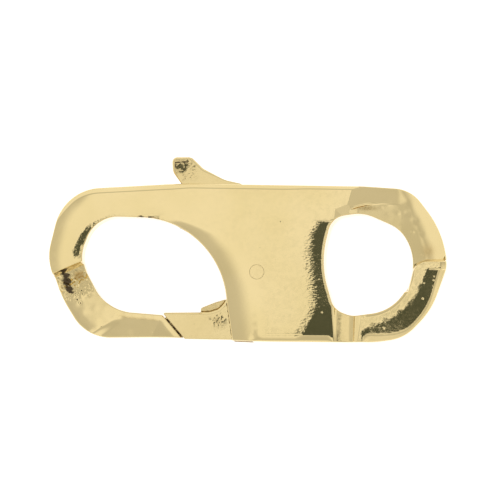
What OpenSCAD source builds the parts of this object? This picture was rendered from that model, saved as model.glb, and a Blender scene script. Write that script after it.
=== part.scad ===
// Lobster clasp of the flat link pattern: hook, slotted housing and chain eye in one casting,
// with a sprung trigger turning on a pin between the two cheek plates.
// Millimetres, +Z up. Origin: middle of the length and width, on the flat back face.
// X runs along the clasp from the hook (-X) to the chain eye (+X); the thumb tab stands out at +Y.

/* [Casting] */
// Length of the casting from the hook's bend to the end of the chain eye
clasp_length = 25; // [22:0.5:30]
// Thickness of the casting from back face to front face
clasp_thickness = 3.2; // [2.9:0.1:4]
// Thickness of each cheek plate beside the slot
cheek_thickness = 0.8; // [0.6:0.05:0.95]
// Width of the chamfer along the long outer edges
edge_chamfer = 0.28; // [0.15:0.01:0.35]

/* [Link relief] */
// Slope of the low arms away from the housing, in degrees
ramp_angle = 11; // [8:1:12]
// Slope of the hook's front arm toward the end groove, in degrees
tip_slope = 4; // [2:1:5]
// Radius of the grooves where the two arms of an end cross
groove_radius = 0.95; // [0.8:0.05:1.05]
// Depth of the end grooves below the face
groove_depth = 1.3; // [1.2:0.05:1.5]
// Angle of the end grooves to the clasp's length, in degrees
groove_angle = 22; // [18:1:26]
// Radius of the cross groove between the housing and the high arm of the eye
cross_groove_radius = 1; // [0.9:0.01:1.1]
// Depth of the cross groove below the face
cross_groove_depth = 0.4; // [0.3:0.05:0.6]

/* [Trigger] */
// Gap between the trigger and each cheek plate
side_clearance = 0.05; // [0.03:0.01:0.1]
// Gap between the end of the gate and the tip of the hook
gate_gap = 0.1; // [0.05:0.01:0.2]
// How far the lip at the hook's tip reaches under the end of the gate
lip_reach = 0.4; // [0.3:0.05:0.5]
// Radius of the hub round the pin
hub_radius = 1.35; // [1.25:0.05:1.4]
// How far the heel lies below each face of the gate
heel_step = 0.3; // [0.15:0.05:0.35]
// Radius of the roll at the end of the thumb tab
tab_roll_radius = 0.86; // [0.8:0.01:0.95]

/* [Pin] */
// Diameter of the pivot pin
pin_diameter = 0.9; // [0.7:0.05:1.2]
// Radial gap between the pin and the trigger's bore
pin_clearance = 0.03; // [0.02:0.01:0.1]
// Radial gap between the pin and the bores of the cheek plates
pin_seat_gap = 0.01; // [0.01:0.01:0.05]

/* [Spring] */
// Diameter of the spring wire
wire_diameter = 0.32; // [0.25:0.01:0.36]
// Radius of the spring's bend, to the middle of the wire
bend_radius = 0.42; // [0.35:0.01:0.45]
// Angle between the spring's two legs when the gate is shut, in degrees
leg_angle = 30; // [29:1:32]

/* [Hidden] */
arc_step = 6;
k = clasp_length / 25;
pivot = [0.57, -0.52] * k;
slot_low = cheek_thickness;
slot_high = clasp_thickness - cheek_thickness;
trigger_low = slot_low + side_clearance;
trigger_high = slot_high - side_clearance;
mid_level = clasp_thickness / 2;

// Slanted end face of the hook from its inner to its outer edge, and the way it faces.
tip_inner = [-5.33, -3.38];
tip_outer = [-4.13, -4.75];
tip_run = (tip_outer - tip_inner) / norm(tip_outer - tip_inner);
tip_faces = [-tip_run[1], tip_run[0]];

// Back edge of the trigger, pressed by the spring.
edge_top = [-0.50, 5.05];
edge_foot = [1.05, 0.75];
edge_run = (edge_top - edge_foot) / norm(edge_top - edge_foot);
edge_faces = [edge_run[1], -edge_run[0]];

// Slot corner that holds the spring's bend.
wall_x = 2.85;
floor_y = 0.48;
spring_gap = 0.03;
bend_room = bend_radius + wire_diameter / 2 + spring_gap;
bend_centre = [wall_x * k - bend_room, floor_y * k + bend_room];

// Free leg: where it leaves the bend, the way it runs, and its length up to the trigger.
leg_run = [-sin(leg_angle), cos(leg_angle)];
leg_side = [-cos(leg_angle), -sin(leg_angle)];
leg_start = bend_centre + leg_side * bend_radius;
leg_offset = (leg_start + leg_side * wire_diameter / 2 - edge_foot * k) * edge_faces;
free_leg = (leg_offset - spring_gap) / -(leg_run * edge_faces);
fixed_leg = 3 * k;

// Corners as [x, y, radius] for a casting 25 long.
casting_corners = [
    [-12.70, 0.15, 3.2],
    [-11.70, 4.48, 3.0],
    [-4.40, 4.98, 30],
    [7.20, 4.98, 12],
    [10.15, 4.85, 2.1],
    [12.05, 2.45, 6],
    [12.55, 0.05, 1.4],
    [11.60, -2.75, 5],
    [9.95, -4.52, 2.6],
    [8.20, -4.82, 8],
    [5.50, -4.86, 60],
    [0.30, -4.90, 60],
    [-4.80, -4.68, 60],
    [-10.20, -4.80, 2.7],
    [-11.80, -2.30, 8],
];
opening_corners = [
    [-10.68, 0.10, 2.2],
    [-9.66, 2.84, 2.1],
    [-4.90, 2.78, 5.4],
    [-1.60, 0.14, 5.6],
    [-1.28, -2.60, 3],
    [-0.84, -5.30, 0],
    [-3.65, -5.30, 0],
    [-5.40, -3.30, 0.1],
    [-8.10, -3.12, 3],
    [-9.35, -2.30, 2.6],
];
eye_corners = [
    [4.58, 0.10, 6],
    [5.22, 2.98, 1.2],
    [7.20, 3.32, 2.4],
    [9.48, 2.38, 2.2],
    [10.42, 0.90, 3],
    [10.25, -1.25, 3],
    [8.92, -2.86, 2.8],
    [6.60, -3.22, 1.7],
    [5.45, -2.80, 1.2],
];
slot_corners = [
    [-4.50, 6.00, 0],
    [-4.46, 1.40, 0.3],
    [-1.90, -0.60, 0],
    [-1.80, -5.60, 0],
    [0.25, -5.60, 0],
    [0.70, -1.60, 0],
    [1.20, floor_y, 0],
    [wall_x, floor_y, bend_room / k],
    [wall_x, 6.00, 0],
];
trigger_corners = [
    concat(tip_inner + tip_faces * gate_gap / k - tip_run * 0.22, 0.08),
    concat(tip_outer + tip_faces * gate_gap / k + tip_run * 0.13, 0.1),
    [0.10, -4.79, 0.4],
    [0.55, -1.50, 0],
    [0.90, -0.50, 0],
    [1.30, 0.20, 0],
    concat(edge_foot, 0.3),
    concat(edge_top, 0.25),
    [-1.60, 5.28, 2],
    [-2.98, 5.98, 0.8],
    [-3.74, 6.70, 0.45],
    [-4.97, 6.68, 0.32],
    [-4.90, 5.75, 0.8],
    [-4.34, 5.00, 1],
    [-3.70, 3.60, 3],
    [-1.60, 1.20, 3],
    [-1.10, -0.60, 1.2],
    [-1.05, -2.12, 0.5],
    [-2.10, -2.44, 1],
    [-2.97, -2.80, 0.12],
    [-3.00, -3.09, 0],
];
// Lip left standing at the hook's tip, under the end of the gate.
lip_corners = [
    concat(tip_inner - tip_faces * 0.4 + tip_run * 0.08, 0),
    concat(tip_outer - tip_faces * 0.4 - tip_run * 0.12, 0),
    concat(tip_outer + tip_faces * lip_reach / k - tip_run * 0.12, 0),
    concat(tip_inner + tip_faces * lip_reach / k + tip_run * 0.08, 0),
];
heel_corners = [
    [-3.40, -3.095, 0],
    [-0.60, -3.035, 0],
    [-0.60, -1.60, 0],
    [-1.60, -1.20, 0],
    [-3.60, -2.30, 0],
];
// Plan of the low arms, each ending on the axis of its end groove.
eye_arm_corners = [
    [4.90, 2.00, 0],
    [7.20, 1.50, 0],
    [9.20, 0.41, 0],
    [14.00, 2.35, 0],
    [14.00, 5.60, 0],
    [4.90, 5.60, 0],
];
hook_arm_corners = [
    [-14.00, -2.35, 0],
    [-14.00, -6.00, 0],
    [-3.00, -6.00, 0],
    [-3.00, -2.40, 0],
    [-9.20, -0.41, 0],
];
// Long edges of the outline that carry a chamfer on the front and on the back, from start to end.
front_chamfers = [
    [[-10.20, 4.583], [-4.40, 4.98]],
    [[-4.40, 4.98], [6.45, 4.98]],
    [[5.40, -4.862], [-0.90, -4.848]],
];
back_chamfers = [
    [[-6.45, 4.84], [-4.40, 4.98]],
    [[-4.40, 4.98], [5.40, 4.98]],
    [[6.45, -4.846], [-0.90, -4.848]],
    [[-4.30, -4.70], [-9.40, -4.782]],
];

function unit(v) = v / norm(v);

// Points along one rounded corner at p1 between its neighbours p0 and p2.
function corner(p0, p1, p2, r) =
    r <= 0 ? [p1] :
    let (
        a = unit(p0 - p1),
        b = unit(p2 - p1),
        half = acos(a * b) / 2,
        centre = p1 + unit(a + b) * (r / sin(half)),
        first = p1 + a * (r / tan(half)) - centre,
        last = p1 + b * (r / tan(half)) - centre,
        from = atan2(first[1], first[0]),
        turn = ((atan2(last[1], last[0]) - from + 540) % 360) - 180,
        n = max(1, ceil(abs(turn) / arc_step))
    )
    [for (i = [0:n]) centre + r * [cos(from + turn * i / n), sin(from + turn * i / n)]];

function flat(c) = [c[0], c[1]];

// Closed outline through rounded corners, scaled to the chosen length.
function outline(c) = [
    for (i = [0:len(c) - 1])
        each corner(flat(c[(i + len(c) - 1) % len(c)]), flat(c[i]), flat(c[(i + 1) % len(c)]), c[i][2])
] * k;

module slab(corners, low, high) {
    translate([0, 0, low])
        linear_extrude(height = high - low)
            polygon(outline(corners));
}

// Cut above a plane that falls away from the point `at` by `slope` degrees along +X turned by `turn`.
module ramp(corners, at, turn, slope) {
    translate([at[0] * k, at[1] * k, at[2]])
        rotate([0, 0, turn])
            rotate([0, slope, 0])
                rotate([0, 0, -turn])
                    translate([-at[0] * k, -at[1] * k, 0])
                        slab(corners, 0, 4);
}

// Groove along the local X axis with its floor at level zero, open upward.
module groove(radius, length) {
    round = [for (a = [180:15:360]) radius * [cos(a), 1 + sin(a)]];
    translate([-length / 2, 0, 0])
        rotate([90, 0, 90])
            linear_extrude(height = length)
                polygon(concat(round, [[radius + 0.6, 5], [-radius - 0.6, 5]]));
}

module end_groove(side) {
    translate([side * 11.4 * k, side * 1.3 * k, clasp_thickness - groove_depth])
        rotate([0, 0, groove_angle])
            groove(groove_radius * k, 4 * k);
}

// Low upper arm of the eye, sloping down from the crease beside the housing to the end groove.
module eye_relief() {
    ramp(eye_arm_corners, [6.16, 3.6, clasp_thickness], -15, ramp_angle);
    end_groove(1);
}

module cross_groove() {
    translate([6.27 * k, -4.1 * k, clasp_thickness - cross_groove_depth])
        rotate([0, 0, 90])
            groove(cross_groove_radius * k, 2.6 * k);
}

// Low front arm of the hook, level with the gate at its tip.
module hook_relief() {
    ramp(hook_arm_corners, [-4.6, -4, trigger_high], 180, tip_slope);
    end_groove(-1);
}

module edge_chamfers(lines, level) {
    side = edge_chamfer * sqrt(2);
    for (line = lines)
        translate([line[0][0] * k, line[0][1] * k, level])
            rotate([0, 0, atan2(line[1][1] - line[0][1], line[1][0] - line[0][0])])
                rotate([45, 0, 0])
                    translate([0, -side / 2, -side / 2])
                        cube([norm(line[1] - line[0]) * k, side, side]);
}

// Hook opening, cut through but for the lip.
module hook_opening() {
    difference() {
        slab(opening_corners, -1, clasp_thickness + 1);
        slab(lip_corners, -2, slot_low);
    }
}

module body() {
    color("gold")
        difference() {
            slab(casting_corners, 0, clasp_thickness);
            hook_opening();
            slab(eye_corners, -1, clasp_thickness + 1);
            slab(slot_corners, slot_low, slot_high);
            translate([pivot[0], pivot[1], slot_low])
                cylinder(r = hub_radius * k + 0.15, h = slot_high - slot_low, $fn = 96);
            translate([pivot[0], pivot[1], -1])
                cylinder(r = pin_diameter / 2 + pin_seat_gap, h = clasp_thickness + 2, $fn = 64);
            eye_relief();
            cross_groove();
            hook_relief();
            // Back of the eye: the front turned over about the length.
            translate([0, 0, clasp_thickness])
                rotate([180, 0, 0]) {
                    eye_relief();
                    cross_groove();
                }
            // Back of the hook: the front of the eye turned over about the width.
            translate([0, 0, clasp_thickness])
                rotate([0, 180, 0])
                    eye_relief();
            edge_chamfers(front_chamfers, clasp_thickness);
            edge_chamfers(back_chamfers, 0);
        }
}

module trigger() {
    color("khaki")
        difference() {
            union() {
                slab(trigger_corners, trigger_low, trigger_high);
                translate([pivot[0], pivot[1], trigger_low])
                    cylinder(r = hub_radius * k, h = trigger_high - trigger_low, $fn = 96);
                tab_roll();
            }
            translate([pivot[0], pivot[1], trigger_low - 1])
                cylinder(r = pin_diameter / 2 + pin_clearance, h = clasp_thickness, $fn = 64);
            slab(heel_corners, trigger_high - heel_step, trigger_high + 1);
            slab(heel_corners, trigger_low - 1, trigger_low + heel_step);
        }
}

// Roll across the end of the thumb tab, a little thicker than the tab.
module tab_roll() {
    intersection() {
        slab(trigger_corners, 0, clasp_thickness);
        translate([-6 * k, 6.695 * k - tab_roll_radius, mid_level])
            rotate([0, 90, 0])
                cylinder(r = tab_roll_radius, h = 4 * k, $fn = 96);
    }
}

module pivot_pin() {
    color("silver")
        translate([pivot[0], pivot[1], 0])
            cylinder(r = pin_diameter / 2, h = clasp_thickness, $fn = 64);
}

module spring() {
    color("darkgray")
        translate([bend_centre[0], bend_centre[1], mid_level]) {
            translate([bend_radius, 0, 0])
                rotate([-90, 0, 0])
                    cylinder(r = wire_diameter / 2, h = fixed_leg, $fn = 32);
            rotate([0, 0, leg_angle - 180]) {
                rotate_extrude(angle = 180 - leg_angle, $fn = 96)
                    translate([bend_radius, 0])
                        circle(r = wire_diameter / 2, $fn = 32);
                translate([bend_radius, 0, 0])
                    rotate([90, 0, 0])
                        cylinder(r = wire_diameter / 2, h = free_leg, $fn = 32);
            }
        }
}

body();
trigger();
pivot_pin();
spring();
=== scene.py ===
"""Lobster clasp of the flat link pattern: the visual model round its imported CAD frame.

Plans and heights are worked out in millimetres in the clasp's own frame, as in the part's source, and turn
into metres when a mesh is made. X runs from the hook to the chain eye, +Y points to the thumb tab and +Z out
of the front face.
"""
import logging
import math
from collections.abc import Callable, Sequence
from dataclasses import dataclass, field
from enum import Enum
from functools import cached_property

import bmesh
import bpy
import numpy as np
from mathutils import Matrix, Vector
from mathutils.geometry import delaunay_2d_cdt
from mathutils.kdtree import KDTree


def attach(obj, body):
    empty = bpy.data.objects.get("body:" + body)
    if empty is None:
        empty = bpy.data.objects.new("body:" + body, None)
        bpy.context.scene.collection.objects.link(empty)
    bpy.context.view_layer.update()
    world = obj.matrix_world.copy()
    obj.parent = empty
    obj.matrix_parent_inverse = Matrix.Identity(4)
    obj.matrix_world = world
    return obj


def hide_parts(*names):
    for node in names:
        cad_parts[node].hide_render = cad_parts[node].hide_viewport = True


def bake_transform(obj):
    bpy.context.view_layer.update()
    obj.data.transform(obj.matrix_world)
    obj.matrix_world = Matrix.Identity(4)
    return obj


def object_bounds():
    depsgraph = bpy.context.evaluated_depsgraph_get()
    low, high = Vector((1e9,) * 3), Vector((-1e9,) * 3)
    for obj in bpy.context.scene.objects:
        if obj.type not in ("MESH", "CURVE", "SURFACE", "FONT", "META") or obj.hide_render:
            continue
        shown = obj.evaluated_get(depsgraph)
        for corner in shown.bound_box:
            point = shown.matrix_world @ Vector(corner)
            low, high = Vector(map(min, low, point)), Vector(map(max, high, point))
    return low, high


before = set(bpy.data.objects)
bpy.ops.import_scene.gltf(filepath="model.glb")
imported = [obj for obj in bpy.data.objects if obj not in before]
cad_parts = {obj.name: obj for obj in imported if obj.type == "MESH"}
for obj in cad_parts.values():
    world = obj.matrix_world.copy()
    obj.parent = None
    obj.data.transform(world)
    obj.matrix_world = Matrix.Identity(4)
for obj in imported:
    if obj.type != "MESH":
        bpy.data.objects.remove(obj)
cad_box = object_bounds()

LOG = logging.getLogger("clasp")
MM = 0.001
THICKNESS = 3.2
CHEEK = 0.8
TRIGGER_HIGH = 2.35
PIVOT = (0.57, -0.52)
PIN_RADIUS = 0.45
CAST_BORE = 0.46
TRIGGER_BORE = 0.48
TABLE_LOW = (-13.4, -5.8)
TABLE_HIGH = (13.4, 7.6)
TABLE_STEP = 0.06
NO_CUT = 9.0
CREASE_ANGLE = 2.5
WALL_ANGLE = 22.0
RIM_TOLERANCE = 1e-4
DEGREES = 180 / math.pi
CAST_SHARE = "cast_share"
# Attribute of painted shade: how much near-black colour stands in for shade and dark reflections at each
# point.
PAINTED_SHADE_SHARE = "painted_shade_share"
FILED_SHARE = "filed_share"

Corners = Sequence[tuple[float, float, float]]
Heights = Callable[[np.ndarray], np.ndarray]


def nowhere(at: np.ndarray) -> np.ndarray:
    """Share of zero at every plan point."""
    return np.zeros(len(at))


def fall(degrees: float) -> float:
    """Drop of a slope for each unit of run."""
    return math.tan(math.radians(degrees))


def hill(*parts: tuple[np.ndarray, np.ndarray | float, float], power: int = 2) -> np.ndarray:
    """Smooth hill of height 1, from its coordinates' values, its middle and its widths."""
    return np.exp(-sum(((value - middle) / width) ** power for value, middle, width in parts))


def unit(rows: np.ndarray) -> np.ndarray:
    """Vectors of length 1 with the directions of the given ones."""
    return rows / np.linalg.norm(rows, axis=1)[:, None]


def half_edges(triangles: np.ndarray) -> np.ndarray:
    """Directed edges of all the triangles."""
    return np.concatenate([triangles[:, [0, 1]], triangles[:, [1, 2]], triangles[:, [2, 0]]])


def tree_of(points: np.ndarray) -> KDTree:
    """Makes a search tree.

    Args:
        points: Plan points.

    Returns:
        The tree over them, with their numbers.
    """
    made = KDTree(len(points))
    for i, (x, y) in enumerate(points):
        made.insert((x, y, 0.0), i)
    made.balance()
    return made


def circle_corners(centre: tuple[float, float], radius: float) -> Corners:
    """Gives the four rounded corners that make a circle.

    Args:
        centre: Middle of the circle.
        radius: Its radius.

    Returns:
        Corners of the square round the circle, each with the circle's radius.
    """
    x, y = centre
    corners = ((-1, -1), (1, -1), (1, 1), (-1, 1))
    return [(x + a * radius, y + b * radius, radius * 0.999999) for a, b in corners]


def smooth_min(a: np.ndarray, b: np.ndarray, soft: np.ndarray | float) -> np.ndarray:
    """Takes the lower of two heights, with the crease between them eased over soft."""
    part = np.clip(soft - np.abs(a - b), 0, None) / soft
    return np.minimum(a, b) - part * part * soft / 4


def smooth_max(a: np.ndarray, b: np.ndarray, soft: float) -> np.ndarray:
    """Takes the higher of two heights, with the crease between them eased over soft."""
    return -smooth_min(-a, -b, soft)


def ease(value: np.ndarray, start: float, end: float) -> np.ndarray:
    """Rises smoothly from 0 where the value is start to 1 where it is end."""
    share = np.clip((value - start) / (end - start), 0, 1)
    return share * share * (3 - 2 * share)


def cut_where(made: np.ndarray, where: np.ndarray, cut: np.ndarray,
              soft: np.ndarray | float) -> np.ndarray:
    """Lowers heights to a cut in part of the plan, with the crease eased over soft."""
    return smooth_min(made, np.where(where, cut, NO_CUT), soft)


def roll_off(depth: np.ndarray, width: np.ndarray | float, degrees: np.ndarray | float) -> np.ndarray:
    """Drop of a face that bends down evenly and then keeps its slope.

    Args:
        depth: Distance past the line where the bend starts.
        width: Distance over which it bends.
        degrees: Slope at the end of the bend.

    Returns:
        How far the face has dropped.
    """
    run = np.clip(depth, 0, None)
    bent = np.minimum(run, width)
    return np.tan(np.radians(degrees)) * (bent * bent / (2 * width) + run - bent)


class EasedCurve:
    """Function of one coordinate through given stations, with its corners eased."""

    def __init__(self, stations: Sequence[tuple[float, float]], soft: float) -> None:
        """Samples and eases the stations.

        Args:
            stations: Pairs of coordinate and value, in rising order.
            soft: Length over which each corner is eased.
        """
        at, value = np.array(stations, float).T
        self.at = np.arange(at[0] - 2, at[-1] + 2, 0.02)
        eased = np.interp(self.at, at, value)
        count = max(1, round(soft / 0.06))
        for _ in range(3):
            padded = np.pad(eased, count, mode="edge")
            eased = np.convolve(padded, np.ones(2 * count + 1) / (2 * count + 1), mode="valid")
        self.value = eased

    def __call__(self, at: np.ndarray) -> np.ndarray:
        """Reads the curve at the given coordinates."""
        return np.interp(at, self.at, self.value)


class Table:
    """Table of a plan function, read smoothly between its grid points."""

    def __init__(self, function: Heights) -> None:
        """Fills the table.

        Args:
            function: The function of plan points.
        """
        self.low = np.array(TABLE_LOW)
        count = np.ceil((np.array(TABLE_HIGH) - self.low) / TABLE_STEP).astype(int)
        x, y = (self.low[k] + TABLE_STEP * np.arange(count[k]) for k in range(2))
        grid = np.stack(np.meshgrid(x, y, indexing="ij"), -1).reshape(-1, 2)
        self.values = function(grid).reshape(count)

    @staticmethod
    def _weights(t: np.ndarray) -> np.ndarray:
        """Catmull-Rom weights of the four grid points round each share of a cell."""
        return np.stack([-0.5 * t + t**2 - 0.5 * t**3, 1 - 2.5 * t**2 + 1.5 * t**3,
                         0.5 * t + 2 * t**2 - 1.5 * t**3, -0.5 * t**2 + 0.5 * t**3])

    def __call__(self, at: np.ndarray) -> np.ndarray:
        """Reads the table.

        Args:
            at: Plan points.

        Returns:
            The function's values there.
        """
        place = (at - self.low) / TABLE_STEP
        size = np.array(self.values.shape)
        cell = np.clip(np.floor(place).astype(int), 1, size - 3)
        share = np.clip(place - cell, 0, 1)
        across, along = self._weights(share[:, 0]), self._weights(share[:, 1])
        flat = self.values.ravel()
        start = (cell[:, 0] - 1) * size[1] + cell[:, 1] - 1
        made = np.zeros(len(at))
        for i in range(4):
            for j in range(4):
                made += across[i] * along[j] * flat[start + i * size[1] + j]
        return made


class Grain:
    """Uneven relief of a cast or filed surface: many plane waves in random directions."""

    def __init__(self, seed: int, wavelength: float, count: int = 48) -> None:
        """Draws the waves.

        Args:
            seed: Seed of the random draws.
            wavelength: Usual length of a wave.
            count: Number of waves.
        """
        rng = np.random.default_rng(seed)
        turn = rng.uniform(0, 2 * math.pi, count)
        pace = 2 * math.pi / (wavelength * rng.uniform(0.6, 1.7, count))
        self.pace = np.stack([np.cos(turn) * pace, np.sin(turn) * pace])
        self.phase = rng.uniform(0, 2 * math.pi, count)

    def __call__(self, at: np.ndarray, share: np.ndarray) -> np.ndarray:
        """Relief with a spread of about one, times the share of it wanted at each point.

        Args:
            at: Plan points.
            share: Share of the relief at each point.

        Returns:
            The relief, zero where the share is.
        """
        made = np.zeros(len(at))
        wanted = share > 1e-4
        if wanted.any():
            waves = np.cos(at[wanted] @ self.pace + self.phase)
            made[wanted] = waves.sum(1) * math.sqrt(2 / len(self.phase)) * share[wanted]
        return made


@dataclass(frozen=True)
class Dimple:
    """Shallow round dent, or a raised spot where its depth is negative."""

    x: float
    y: float
    radius: float
    depth: float

    def drop(self, at: np.ndarray) -> np.ndarray:
        """How far the dent lowers each plan point."""
        away = ((at - (self.x, self.y)) ** 2).sum(1) / (self.radius / 1.6) ** 2
        return self.depth * np.exp(-away)


def dimples(*rows: tuple[float, float, float, float]) -> tuple[Dimple, ...]:
    """Dents from rows of x, y, radius and depth."""
    return tuple(Dimple(*row) for row in rows)


class Outline:
    """Closed plan line through rounded corners, with the signed distance to it."""

    def __init__(self, corners: Corners, step: float = 0.07, turn: float = 3.0) -> None:
        """Rounds the corners and samples the line.

        Args:
            corners: Plan corners as x, y and fillet radius.
            step: Longest piece of an arc.
            turn: Largest turn between two pieces of an arc, in degrees.
        """
        self.points = self._sampled([np.array(p) for p in self._rounded(corners, step, turn)])
        if self._area() < 0:
            self.points = self.points[::-1].copy()
        self.edge = np.roll(self.points, -1, axis=0) - self.points
        self.length2 = (self.edge**2).sum(1)
        inward = np.stack([-self.edge[:, 1], self.edge[:, 0]], 1) / np.sqrt(self.length2)[:, None]
        self.edge_inward = inward
        self.corner_inward = inward + np.roll(inward, 1, axis=0)
        self._tree = tree_of(self.points)

    @staticmethod
    def _rounded(corners: Corners, step: float, turn: float) -> list[tuple[float, float]]:
        """Replaces each corner by its arc.

        Args:
            corners: Plan corners as x, y and fillet radius.
            step: Longest piece of an arc.
            turn: Largest turn between two pieces, in degrees.

        Returns:
            Points of the rounded line.
        """
        made = []
        count = len(corners)
        for i, (x, y, radius) in enumerate(corners):
            here = np.array((x, y))
            before = np.array(corners[i - 1][:2]) - here
            after = np.array(corners[(i + 1) % count][:2]) - here
            before /= np.linalg.norm(before)
            after /= np.linalg.norm(after)
            if radius <= 0:
                made.append((x, y))
                continue
            half = math.acos(float(np.clip(before @ after, -1, 1))) / 2
            middle = (before + after) / np.linalg.norm(before + after)
            centre = here + middle * (radius / math.sin(half))
            first = here + before * (radius / math.tan(half)) - centre
            last = here + after * (radius / math.tan(half)) - centre
            start = math.atan2(first[1], first[0])
            sweep = (math.atan2(last[1], last[0]) - start + math.pi) % (2 * math.pi) - math.pi
            pieces = max(1, math.ceil(abs(math.degrees(sweep)) / turn),
                         math.ceil(abs(sweep) * radius / step))
            for k in range(pieces + 1):
                angle = start + sweep * k / pieces
                made.append((centre[0] + radius * math.cos(angle), centre[1] + radius * math.sin(angle)))
        return made

    @staticmethod
    def _sampled(points: list[np.ndarray], longest: float = 0.12) -> np.ndarray:
        """Cuts long straight pieces into shorter ones and leaves out doubled points.

        Args:
            points: Points of the closed line.
            longest: Longest piece allowed.

        Returns:
            The sampled points.
        """
        made = []
        for here, there in zip(points, points[1:] + points[:1]):
            gap = float(np.linalg.norm(there - here))
            if gap < 1e-5:
                continue
            pieces = math.ceil(gap / longest)
            made += [here + (there - here) * k / pieces for k in range(pieces)]
        return np.array(made)

    def _area(self) -> float:
        """Signed area, positive for a line that runs anticlockwise."""
        x, y = self.points.T
        return float((x * np.roll(y, -1) - np.roll(x, -1) * y).sum() / 2)

    def distance(self, at: np.ndarray) -> np.ndarray:
        """Signed distance to the line.

        Args:
            at: Plan points.

        Returns:
            Distances, positive inside.
        """
        find = self._tree.find
        near = np.fromiter((find((x, y, 0.0))[1] for x, y in at), int, len(at))
        count = len(self.points)
        best = np.full(len(at), np.inf)
        for k in ((near - 1) % count, near):
            offset = at - self.points[k]
            share = np.clip((offset * self.edge[k]).sum(1) / self.length2[k], 0, 1)[:, None]
            offset = offset - share * self.edge[k]
            inward = np.where(share <= 0, self.corner_inward[k], self.edge_inward[k])
            inward = np.where(share >= 1, self.corner_inward[(k + 1) % count], inward)
            signed = np.hypot(offset[:, 0], offset[:, 1]) * np.sign((offset * inward).sum(1))
            best = np.where(np.abs(signed) < np.abs(best), signed, best)
        return best

    def stretch(self, low: tuple[float, float], high: tuple[float, float], offset: float) -> np.ndarray:
        """Part of the line that lies in a box.

        Args:
            low: Lowest corner of the box.
            high: Highest corner of the box.
            offset: Distance outward from the line.

        Returns:
            Points along that part.
        """
        kept = ((self.points > low) & (self.points < high)).all(1)
        first = np.flatnonzero(kept & ~np.roll(kept, 1))[0]
        order = (first + np.arange(len(kept))) % len(kept)
        order = order[:np.argmin(kept[order])]
        outward = -self.corner_inward[order]
        return self.points[order] + offset * outward / np.linalg.norm(outward, axis=1)[:, None]

    @cached_property
    def near(self) -> Heights:
        """The signed distance, read smoothly and quickly from a table."""
        return Table(self.distance)


class Circle(Outline):
    """Circular outline."""

    def __init__(self, centre: tuple[float, float], radius: float) -> None:
        """Samples the circle."""
        super().__init__(circle_corners(centre, radius))
        self.centre, self.radius = centre, radius

    def distance(self, at: np.ndarray) -> np.ndarray:
        """Signed distance to the circle, positive inside."""
        return self.radius - np.hypot(*(at - self.centre).T)

    @property
    def near(self) -> Heights:
        """The signed distance."""
        return self.distance


@dataclass
class Plan:
    """Plan of a flat part: solid outlines joined, less its voids."""

    solids: list[Outline]
    voids: list[Outline] = field(default_factory=list)

    def _joined(self, readers: Callable[[Outline], Heights], at: np.ndarray) -> np.ndarray:
        """Signed distance to the plan's edge.

        Args:
            readers: Gives the distance to an outline as a function.
            at: Plan points.

        Returns:
            Distances, positive in the solid.
        """
        made = np.max([readers(o)(at) for o in self.solids], axis=0)
        for void in self.voids:
            made = np.minimum(made, -readers(void)(at))
        return made

    def near(self, at: np.ndarray) -> np.ndarray:
        """Signed distance to the plan's edge, read from tables."""
        return self._joined(lambda outline: outline.near, at)

    def distance(self, at: np.ndarray) -> np.ndarray:
        """Signed distance to the plan's edge, exact beside the edge.

        Args:
            at: Plan points.

        Returns:
            Distances, positive in the solid.
        """
        made = self.near(at)
        close = np.abs(made) < 0.15
        if close.any():
            made[close] = self._joined(lambda outline: outline.distance, at[close])
        return made


def triangulate(points: np.ndarray, edges: np.ndarray) -> tuple[np.ndarray, np.ndarray]:
    """Constrained Delaunay triangles of plan points.

    Args:
        points: Plan points.
        edges: Pairs of point numbers that have to be edges.

    Returns:
        The points of the triangulation and its triangles, anticlockwise.
    """
    pairs = [(int(a), int(b)) for a, b in edges]
    out = delaunay_2d_cdt([Vector(p) for p in points.tolist()], pairs, [], 0, 1e-6, False)
    made = np.array([tuple(v) for v in out[0]])
    triangles = np.array(out[2])
    a, b, c = (made[triangles[:, k]] for k in range(3))
    turned = (b[:, 0] - a[:, 0]) * (c[:, 1] - a[:, 1]) - (b[:, 1] - a[:, 1]) * (c[:, 0] - a[:, 0])
    triangles = triangles[np.abs(turned) > 1e-9]
    turned = turned[np.abs(turned) > 1e-9]
    triangles[turned < 0] = triangles[turned < 0][:, ::-1]
    return made, triangles


def border(triangles: np.ndarray, count: int) -> np.ndarray:
    """Directed edges with a triangle on their left and none on their right.

    Args:
        triangles: Triangles, anticlockwise.
        count: Number of points, for numbering the edges.

    Returns:
        Pairs of point numbers.
    """
    half = half_edges(triangles)
    ahead = half[:, 0] * count + half[:, 1]
    back = half[:, 1] * count + half[:, 0]
    return half[~np.isin(ahead, back)]


class Side(Enum):
    """The two broad faces of a flat part, each with the direction it faces."""

    FRONT = 1.0
    BACK = -1.0


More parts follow.
